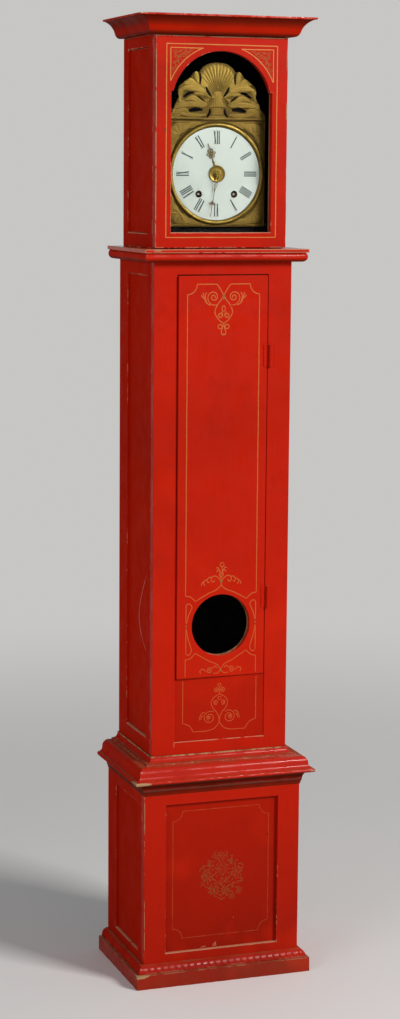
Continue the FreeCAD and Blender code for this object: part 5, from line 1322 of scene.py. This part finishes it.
class CLOCK_OT_dial(Operator):
    """Numerals, minute dots and the bushes of the winding holes"""
    bl_idname = "clock.dial"
    bl_label = "Dial"

    def execute(self, context):
        marks = piece("numerals", numerals() + minute_dots(), ["numeral_black"], "case", closed=False)
        face_front(marks.data)
        rings = []
        for x in (-ARBOR_X, ARBOR_X):
            y = dome(0.067) + 0.3 * MM
            outline = [(7.5 * MM, y + 1 * MM), (7.5 * MM, y - 0.5 * MM), (8.0 * MM, y - 0.9 * MM),
                       (8.7 * MM, y - 0.5 * MM), (8.9 * MM, y + 1 * MM)]
            rings.append(lathe(outline, x, ARBOR_Z, 48))
        piece("winding_bushes", rings, ["bezel_brass"], "case")
        return {"FINISHED"}


# Pressed brass

def line_distance(x, z, line):
    """For every point, its distance from a line of straight parts and how far along the line it lies: the nearest of
    all parts, each taken at the foot of the perpendicular kept within its ends."""
    p = np.asarray(line, float)
    a, b = p[:-1], p[1:]
    step = b - a
    length = np.linalg.norm(step, axis=1)
    rel_x, rel_z = x[:, None] - a[None, :, 0], z[:, None] - a[None, :, 1]
    t = np.clip((rel_x * step[:, 0] + rel_z * step[:, 1]) / length ** 2, 0, 1)
    far = np.hypot(rel_x - t * step[:, 0], rel_z - t * step[:, 1])
    best = far.argmin(axis=1)
    rows = np.arange(len(x))
    along = np.concatenate([[0], np.cumsum(length)])
    return far[rows, best], along[best] + t[rows, best] * length[best], along[-1]


def ridge(share):
    """A half-round: the root of one less the square."""
    return np.sqrt(np.clip(1 - share ** 2, 0, 1))


def leaf(x, z, line, width, vein=3.4, top=1.0):
    """A leaf along a line: it swells and narrows by a sine, its back is half-round, and its veins slant."""
    d, s, total = line_distance(x, z, flowing(line, 8))
    share = s / total
    wide = width * (0.25 + 0.75 * np.sin(np.pi * np.clip(share * 0.82 + 0.12, 0, 1)))
    veins = 0.93 + 0.07 * np.sin(TURN * (s - 1.3 * d) / vein)
    spine = 1 - 0.16 * np.exp(-(d / 0.8) ** 2)
    return top * ridge(d / wide) ** 0.8 * veins * spine


CREST_LEAVES = [
    ([(30, 2196), (42, 2204), (52, 2215), (56, 2231)], 8, 1.0),
    ([(40, 2190), (58, 2200), (68, 2209), (74, 2212)], 8, 0.9),
    ([(34, 2183), (52, 2190), (76, 2192), (97, 2187)], 7.5, 1.0),
    ([(60, 2196), (76, 2203), (86, 2203)], 6, 0.85),
    ([(88, 2186), (96, 2178), (98, 2168), (94, 2160)], 7, 0.9),
    ([(26, 2176), (40, 2180), (56, 2178)], 6, 0.8),
    ([(30, 2153), (44, 2158), (62, 2168), (80, 2164)], 7, 0.95),
    ([(34, 2150), (58, 2153), (80, 2152), (104, 2146)], 7, 1.0),
    ([(86, 2160), (98, 2152), (108, 2146), (113, 2138)], 6.5, 0.8),
    ([(32, 2130), (54, 2127), (78, 2129), (98, 2133)], 5.5, 0.9),
    ([(72, 2136), (90, 2140), (106, 2134), (118, 2130)], 6.5, 0.85),
    ([(24, 2166), (36, 2158), (48, 2150)], 5, 0.8),
    ([(96, 2128), (108, 2126), (120, 2124)], 5, 0.7)]
CREST_HOLES = [
    ([(45, 2226), (44, 2214), (45, 2202)], 2.4), ([(29, 2194), (24, 2183), (15.5, 2172.5)], 3.0),
    ([(61, 2182), (72, 2179), (85, 2171)], 3.6), ([(51, 2173), (43, 2168), (33, 2161)], 1.7),
    ([(40, 2141), (54, 2142), (72, 2138)], 5.2), ([(19, 2143), (19.5, 2134), (26, 2124)], 3.0)]


def crest_height(x, z):
    """How far the crest is pressed forward, and where it is pierced: shell, stem, bar and leaves, in millimetres."""
    x = abs(x)
    turn, far = np.degrees(np.arctan2(x, z - 2180)), np.hypot(x, z - 2180)
    reach = np.interp(turn, [0, 25, 50, 68, 90, 115, 140], [73, 70.5, 61, 52, 41, 27, 15])
    flutes = abs(np.cos(np.radians(turn) * sizes().shell_flutes)) ** 0.6
    share = far / reach
    shell = (0.70 + 0.30 * flutes * np.clip(share * 1.4, 0, 1)) * (0.62 + 0.46 * np.clip(share, 0, 1) ** 1.5)
    shell = shell * ridge(share ** 4)
    stem_half = np.interp(z, [2123, 2127, 2129, 2145, 2147.5, 2150, 2153, 2160, 2172, 2186, 2196],
                          [27, 26, 17, 15.5, 25, 25, 21, 15, 11.5, 13, 10])
    stem = ridge(x / stem_half) ** 0.5 * (0.82 + 0.035 * np.cos(x * 1.5)) * (z < 2184)
    stem = stem * (1 - 0.75 * np.exp(-((z - 2146.6) / 0.9) ** 2)) * (1 - 0.5 * np.exp(-((z - 2128) / 0.8) ** 2))
    bar = np.where(z < 2123.5, 0.9 * ridge((z - 2120.4) / 3.4), 0)
    nail = 0.98 * ridge(np.hypot(x, z - 2194.6) / 2.2)
    ground = 0.50 + 0.05 * np.sin(x * 0.9 + z * 0.4) * np.sin(z * 0.8 - x * 0.3)
    high = np.maximum.reduce([np.where(share < 1, shell, 0), stem, bar, ground, nail * (nail > 0.1)])
    for line, width, top in CREST_LEAVES:
        high = np.maximum(high, 0.34 + 0.66 * leaf(x, z, line, width * 1.2, 3.0, top))
    # Pierced places are not cut: the sheet is pushed back there and painted near-black as painted shade.
    pierced = np.zeros(len(x))
    for line, width in CREST_HOLES:
        d, s, total = line_distance(x, z, flowing(line, 8))
        wide = width * (0.45 + 0.55 * np.sin(np.pi * s / total)) * (1 + 0.18 * np.sin(s * 1.3))
        pierced = np.maximum(pierced, np.clip((wide - d) / 0.7 + 0.5, 0, 1))
    return high, pierced


def corner_height(x, z):
    """The pressed corners of the plate, folded to one of the four: a fan of flutes that spreads towards the corner,
    leaves along both edges, and a raised border."""
    a, b = abs(x), abs(z)
    a, b = np.maximum(a, b), np.minimum(a, b)
    far, turn = np.hypot(a - 92, b - 92), np.degrees(np.arctan2(b - 92, a - 92)) - 45
    fan = (0.66 + 0.34 * abs(np.cos(np.radians(turn) * 5)) ** 0.6) * ridge((far / 30) ** 3) * (abs(turn) < 100)
    high = np.maximum(0.42 + 0.06 * np.sin(a * 1.1) * np.sin(b * 1.3), 0.3 + 0.7 * fan)
    for line, width in (([(100, 84), (112, 74), (117, 58), (118, 40)], 7), ([(104, 96), (113, 90), (119, 76)], 5),
                        ([(108, 66), (112, 56), (119, 52)], 4), ([(114, 46), (118, 32), (119, 18)], 4)):
        high = np.maximum(high, 0.3 + 0.7 * leaf(a, b, line, width))
    border = 0.8 * ridge((a - 122.6) / 1.8)
    return np.maximum(high, border * (a > 120))


def pressed(outline, middle, y, depth, angles, shares, height):
    """A pressed sheet: points along rays from the middle at shares of the way to the outline, pushed forward by the
    height, then the outline again on the back plane."""
    rim = crossing(outline, np.array(middle, float), angles) - middle
    grid = np.array(middle) + shares[:, None, None] * rim[None]
    x, z = grid[..., 0].ravel(), grid[..., 1].ravel()
    high, pierced = height(x, z)
    edge = np.repeat(ridge(np.clip((shares - 0.985) / 0.015, 0, 1)), len(angles))
    raised = y + depth * (0.62 - 0.62 * high * (0.5 + 0.5 * edge)) + pierced * depth * 0.3
    front = np.column_stack([x * MM, raised, z * MM])
    behind = np.full(len(angles), (y + depth) / MM)
    back = np.column_stack([rim[:, 0] + middle[0], behind, rim[:, 1] + middle[1]]) * MM
    points = np.concatenate([front, back])
    zeros = np.zeros(len(back))
    marks = {"height": np.concatenate([high, zeros + 0.3]), "pierced": np.concatenate([pierced, zeros])}
    return points, [grid_faces(len(shares) + 1, len(angles), False, True)], marks


class CLOCK_OT_brass(Operator):
    """The pressed crest and the four pressed corners round the dial"""
    bl_idname = "clock.brass"
    bl_label = "Pressed brass"

    def execute(self, context):
        self.crest()
        self.corners()
        return {"FINISHED"}

    def crest(self):
        """The pressed crest, from half its outline."""
        half = np.array([(0, 2253.2), (14, 2252.2), (27, 2248.5), (38, 2241), (44.5, 2232), (47, 2228), (51, 2231.5),
                         (56, 2231.5), (62, 2228), (68, 2218), (74, 2214), (80, 2211), (87.5, 2204), (92, 2202),
                         (99, 2194), (101, 2187), (100, 2178), (98, 2171), (103, 2162), (108, 2155), (111, 2144),
                         (117, 2138), (122, 2134.5), (123.5, 2130), (123.7, 2117.3)], float)
        outline = np.concatenate([half[::-1], half[1:] * (-1, 1)])
        angles = np.concatenate([np.radians(np.linspace(-1.5, 181.5, 420)), np.radians(np.linspace(186, 354, 30))])
        shares = np.linspace(0, 1, 110)
        low, high = CREST
        points, faces, marks = pressed(outline, (0, 2120.5), low[1], high[1] - low[1], angles, shares, crest_height)
        back = np.arange(len(angles))[None, :] + len(shares) * len(angles)
        piece("crest", [(points, faces + [back])], ["pressed_brass"], "case", ["brass_crest"], marks=marks)

    def corners(self):
        """The plate round the bezel, as one sheet with a round hole: rings from the hole to the square's edge."""
        low, high = SURROUND
        square = rectangle(low[0], high[0], low[2] - DIAL_Z, high[2] - DIAL_Z) / MM
        angles = np.arange(720) * TURN / 720
        rim = crossing(square, np.zeros(2), angles)
        hole = np.column_stack([np.cos(angles), np.sin(angles)]) * 113.3
        shares = np.linspace(0, 1, 42)
        grid = hole[None] + shares[:, None, None] * (rim - hole)[None]
        x, z = grid[..., 0].ravel(), grid[..., 1].ravel()
        height = corner_height(x, z)
        free = np.clip((np.hypot(x, z) - 122.5) / 2, 0, 1)
        y = low[1] - 2.6 * MM * (height - 0.3) * free
        front = np.column_stack([x * MM, y, z * MM + DIAL_Z])
        back = [np.column_stack([r[:, 0] * MM, np.full(len(r), high[1]), r[:, 1] * MM + DIAL_Z]) for r in (rim, hole)]
        points = np.concatenate([front] + back)
        marks = {"height": np.concatenate([height * free, np.zeros(2 * len(angles)) + 0.3])}
        faces = grid_faces(len(shares) + 2, len(angles), True, True)
        piece("dial_corners", [(points, faces)], ["pressed_brass"], "case", ["brass_surround"], marks=marks)


# Hands

def wire(line, wide, near, far):
    """A flat wire along a line: six points round it, flat behind and rounded in front."""
    p = np.asarray(line, float) * MM
    closed = np.linalg.norm(p[0] - p[-1]) < 1e-7
    if closed:
        p = p[:-1]
        run = np.roll(p, -1, axis=0) - np.roll(p, 1, axis=0)
    else:
        run = np.gradient(p, axis=0)
    run = run / np.maximum(np.linalg.norm(run, axis=1, keepdims=True), 1e-9)
    across = np.column_stack([-run[:, 1], run[:, 0]])
    section = [(-1, 1), (-1, 0.35), (-0.5, 0), (0.5, 0), (1, 0.35), (1, 1)]
    grid = np.stack([np.column_stack([p[:, 0] + across[:, 0] * s * wide * MM / 2,
                                      np.full(len(p), near + (far - near) * d),
                                      p[:, 1] + across[:, 1] * s * wide * MM / 2]) for s, d in section], axis=1)
    return grid.reshape(-1, 3), tube_faces(len(p), len(section), closed)


def on_dial(parts, angle):
    """Parts drawn upright about the origin, turned clockwise and put on the dial's middle."""
    c, s = math.cos(angle), math.sin(angle)
    return [(np.column_stack([p[:, 0] * c + p[:, 2] * s, p[:, 1], DIAL_Z - p[:, 0] * s + p[:, 2] * c]), f)
            for p, f in parts]


def rosette(distance, radius, petals, wide, near, far):
    """A pierced flower: a small ring, and petals of thin wire round it."""
    parts = [wire(oval(0, distance, radius * 0.22, radius * 0.22, 16), wide, near, far)]
    for k in range(petals):
        t = TURN * k / petals
        petal = oval(0, 0, radius * 0.36, radius * 0.20, 18)
        turned = petal @ np.array([[math.cos(t), math.sin(t)], [-math.sin(t), math.cos(t)]])
        middle = (radius * 0.62 * math.cos(t), distance + radius * 0.62 * math.sin(t))
        parts.append(wire(turned + middle, wide, near, far))
    return parts


class CLOCK_OT_hands(Operator):
    """Hour and minute hand: dished boss, fine wires and pierced flowers"""
    bl_idname = "clock.hands"
    bl_label = "Hands"

    def execute(self, context):
        y = corners("hour_hand")[1][1]
        near, far = y - 1.2 * MM, y
        dish = [(6.0, 0), (6.0, -2.0), (8, -1.5), (14, -1.1), (17.5, -1.6), (19.5, -2.4), (20.5, -1.8), (20.5, 0)]
        hour = [lathe([(r * MM, y + d * MM) for r, d in dish], 0, 0)]
        hour += rosette(50, 11.7, 6, 1.5, near, far)
        lines = [straight(-1.3, 19, 0, 41, 4), straight(1.3, 19, 0, 41, 4), straight(0, 60, 0, 75.3, 4),
                 flowing([(-3.5, 27), (0, 31), (3.5, 27)]), flowing([(-2.4, 63), (0, 60.5), (2.4, 63)])]
        hour += [wire(line, 1.5, near, far) for line in lines]
        piece("hour_hand_pierced", on_dial(hour, math.radians(342.5)), ["hand_brass"], "hour", ["hour_hand"])
        y = corners("minute_hand")[1][1]
        near, far = y - 1.2 * MM, y
        disc = [(3.2, 0), (3.2, -1.2), (7.6, -1.2), (8.5, -0.7), (8.5, 0)]
        minute = [lathe([(r * MM, y + d * MM) for r, d in disc], 0, 0)]
        minute += rosette(71, 5.5, 5, 1.1, near, far)
        lines = [straight(-2, 8, -5, 20, 4), straight(2, 8, 5, 20, 4), straight(-5, 20, 0, 43, 4),
                 straight(5, 20, 0, 43, 4), straight(0, 43, 0, 66, 4), straight(0, 76, 0, 104, 4)]
        minute += [wire(line, 1.4, near, far) for line in lines]
        piece("minute_hand_pierced", on_dial(minute, math.radians(189.6)), ["hand_brass"], "minute", ["minute_hand"])
        return {"FINISHED"}


# Ropes

def twisted(x, y, low, high, radius, pitch):
    """Three strands about an upright line: each strand's middle runs on a helix, and a ring of points round it."""
    z = np.linspace(low, high, int((high - low) / (0.9 * MM)))[:, None]
    n = 6
    round_strand = (np.arange(n) * TURN / n)[None, :]
    parts = []
    for strand in range(3):
        a = TURN * (z / pitch + strand / 3)
        cx, cy = x + 0.50 * radius * np.cos(a), y + 0.50 * radius * np.sin(a)
        grid = np.stack([cx + 0.5 * radius * np.cos(round_strand), cy + 0.5 * radius * np.sin(round_strand),
                         z + 0 * round_strand], axis=-1)
        parts.append((grid.reshape(-1, 3), tube_faces(len(z), n)))
    return parts


class CLOCK_OT_ropes(Operator):
    """The two weight ropes, twisted of three strands"""
    bl_idname = "clock.ropes"
    bl_label = "Ropes"

    def execute(self, context):
        for word in ("time", "strike"):
            low, high = corners(f"{word}_rope")
            x, y = (low[0] + high[0]) / 2, (low[1] + high[1]) / 2
            rope = piece(f"{word}_rope_strands", twisted(x, y, low[2], high[2], 1.22 * MM, 7.5 * MM), ["hemp"], None,
                         [f"{word}_rope"])
            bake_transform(rope)
        return {"FINISHED"}


# Finishes of the CAD nodes that are shown as they are

NODE_FINISHES = {
    "panel_paint": ["base_front_panel", "trunk_lower_panel"],
    "hinge_paint": ["trunk_hinge_case_leaves", "trunk_hinge_door_leaves", "hood_hinge_case_leaves",
                    "hood_hinge_door_leaves"],
    "raw_pine": ["porthole_retainer"],
    "roof_pine": ["hood_top_board"],
    "dark_inside": ["base_inner_boards", "movement_seat"],
    "back_pine": ["back_boards"],
    "clear_glass": ["porthole_glass", "hood_door_glass"],
    "enamel_white": ["enamel_dial"],
    "bezel_brass": ["dial_bezel"],
    "hand_brass": ["hand_nut", "cannon_arbor"],
    "train_brass": ["hour_wheel", "minute_wheel", "time_great_wheel", "second_wheel", "third_wheel", "escape_wheel",
                    "strike_great_wheel", "pin_wheel"],
    "bob_brass": ["pendulum_bob"],
    "bell_metal": ["bell"],
    "black_iron": ["movement_frame", "dial_plate", "hood_door_lock"],
    "cast_iron": ["time_weight", "strike_weight"],
    "cut_steel": ["anchor", "pendulum_rod", "hammer", "fly", "time_drum", "strike_drum"],
}


class CLOCK_OT_finishes(Operator):
    """Materials for the parts that keep their own shape"""
    bl_idname = "clock.finishes"
    bl_label = "Finishes"

    def execute(self, context):
        for name, nodes in NODE_FINISHES.items():
            for node in nodes:
                mesh = frame["nodes"][node].data
                mesh.materials.clear()
                mesh.materials.append(finish(name))
        return {"FINISHED"}


# Stage

def placed(data, right, up, forward, place):
    """An object for a lamp or camera, from its place and the directions of its right, up and forward."""
    obj = bpy.data.objects.new(data.name, data)
    bpy.context.scene.collection.objects.link(obj)
    columns = np.column_stack([right, up, -np.array(forward), place])
    obj.matrix_world = Matrix(np.vstack([columns, (0, 0, 0, 1)]).tolist())
    return obj


def lamp(name, place, target, size, power, colour):
    """A square soft light that looks at a point, with Z up."""
    data = bpy.data.lights.new(name, "AREA")
    data.shape, data.size, data.energy, data.color = "SQUARE", size, power, colour
    forward = np.array(target) - np.array(place)
    forward = forward / np.linalg.norm(forward)
    right = np.cross(forward, (0, 0, 1))
    right /= np.linalg.norm(right)
    placed(data, right, np.cross(right, forward), forward, place)


def seen_rays(tree):
    """1 for camera, mirror and glass rays, else 0."""
    path = tree.nodes.new("ShaderNodeLightPath")
    seen = path.outputs["Is Camera Ray"]
    for name in ("Is Glossy Ray", "Is Transmission Ray"):
        add = tree.nodes.new("ShaderNodeMath")
        add.operation = "MAXIMUM"
        tree.links.new(seen, add.inputs[0])
        tree.links.new(path.outputs[name], add.inputs[1])
        seen = add.outputs[0]
    return seen


class CLOCK_OT_stage(Operator):
    """Plain floor and background, soft lights and the camera"""
    bl_idname = "clock.stage"
    bl_label = "Stage"

    def execute(self, context):
        self.floor()
        self.world(context.scene)
        lamp("key", (3.2, -4.6, 4.0), (0, 0, 1.25), 1.7, 285, (1.0, 0.985, 0.96))
        lamp("fill", (-4.5, -3.0, 2.2), (0, 0, 1.1), 3.0, 60, (0.97, 0.98, 1.0))
        self.camera(context.scene)
        context.scene.view_settings.view_transform = "Standard"
        return {"FINISHED"}

    def floor(self):
        """The ground under the clock. To camera, mirror and glass rays it fades into the backdrop with distance, and
        all other rays meet plain pale ground."""
        ring = circle(0, 0, 60, 96)
        points = np.column_stack([ring[:, 0], ring[:, 1], np.full(len(ring), -0.2 * MM)])
        mesh = bpy.data.meshes.new("floor")
        mesh.from_pydata(points.tolist(), [], [list(range(len(points)))])
        obj = bpy.data.objects.new("floor", mesh)
        bpy.context.scene.collection.objects.link(obj)
        f = Finish("floor", Roughness=0.9, Specular_IOR_Level=0.1)
        seen = seen_rays(f.tree)
        soft = f.mix(f.product(f.noise(1.7, 2), 0.05), colours().floor, [v * 0.9 for v in colours().floor])
        f.paint(f.mix(seen, soft, (0.93, 0.925, 0.91)))
        glow = f.node("Emission", [(0, (*colours().backdrop, 1))])
        radius = f.node("VectorMath", [(0, f.place)], operation="LENGTH").outputs["Value"]
        far = f.product(f.band(radius, 1.1, 4.6), seen)
        both = f.node("MixShader", [(0, far), (1, f.shader.outputs[0]), (2, glow.outputs[0])])
        f.tree.links.new(both.outputs[0], f.tree.nodes["Material Output"].inputs["Surface"])
        mesh.materials.append(f.material)

    def world(self, scene):
        """The background is the backdrop's colour to camera, mirror and glass rays, and a softer grey light else."""
        world = bpy.data.worlds.new("studio")
        world.use_nodes = True
        tree = world.node_tree
        mix = tree.nodes.new("ShaderNodeMix")
        mix.data_type = "RGBA"
        tree.links.new(seen_rays(tree), mix.inputs[0])
        mix.inputs[6].default_value = (0.21, 0.21, 0.215, 1)
        mix.inputs[7].default_value = (*colours().backdrop, 1)
        tree.links.new(mix.outputs[2], tree.nodes["Background"].inputs["Color"])
        scene.world = world

    def camera(self, scene):
        """The place and directions that the photo's edges give."""
        data = bpy.data.cameras.new("camera")
        data.lens, data.sensor_width = 79.8, 36
        data.clip_start, data.clip_end = 0.1, 200
        scene.camera = placed(data, (0.94330, -0.33184, 0.00766), (0.04122, 0.14001, 0.98929),
                              (0.32936, 0.93289, -0.14575), (-1.8638, -5.2283, 1.9826))


STEPS = (CLOCK_OT_boards, CLOCK_OT_mouldings, CLOCK_OT_doors, CLOCK_OT_lines, CLOCK_OT_dial, CLOCK_OT_brass,
         CLOCK_OT_hands, CLOCK_OT_ropes, CLOCK_OT_finishes, CLOCK_OT_stage)


class CLOCK_PT_panel(Panel):
    """Sidebar panel that lists the steps and the settings"""
    bl_idname = "CLOCK_PT_panel"
    bl_label = "Painted floor clock"
    bl_space_type = "VIEW_3D"
    bl_region_type = "UI"
    bl_category = "Clock"

    def draw(self, context):
        for step in STEPS:
            self.layout.operator(step.bl_idname)
        for group in (context.scene.clock_sizes, context.scene.clock_colours):
            for name in group.bl_rna.properties.keys():
                if name not in ("rna_type", "name"):
                    self.layout.prop(group, name)


CLASSES = (ClockSizes, ClockColours) + STEPS + (CLOCK_PT_panel,)


def register():
    """Makes the add-on's classes and settings known."""
    for cls in CLASSES:
        bpy.utils.register_class(cls)
    bpy.types.Scene.clock_sizes = PointerProperty(type=ClockSizes)
    bpy.types.Scene.clock_colours = PointerProperty(type=ClockColours)


def unregister():
    """Takes them out again."""
    del bpy.types.Scene.clock_colours
    del bpy.types.Scene.clock_sizes
    for cls in reversed(CLASSES):
        bpy.utils.unregister_class(cls)


def main():
    """Registers the add-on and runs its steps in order."""
    register()
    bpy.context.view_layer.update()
    for step in STEPS:
        group, name = step.bl_idname.split(".")
        getattr(getattr(bpy.ops, group), name)()


if __name__ == "__main__":
    main()
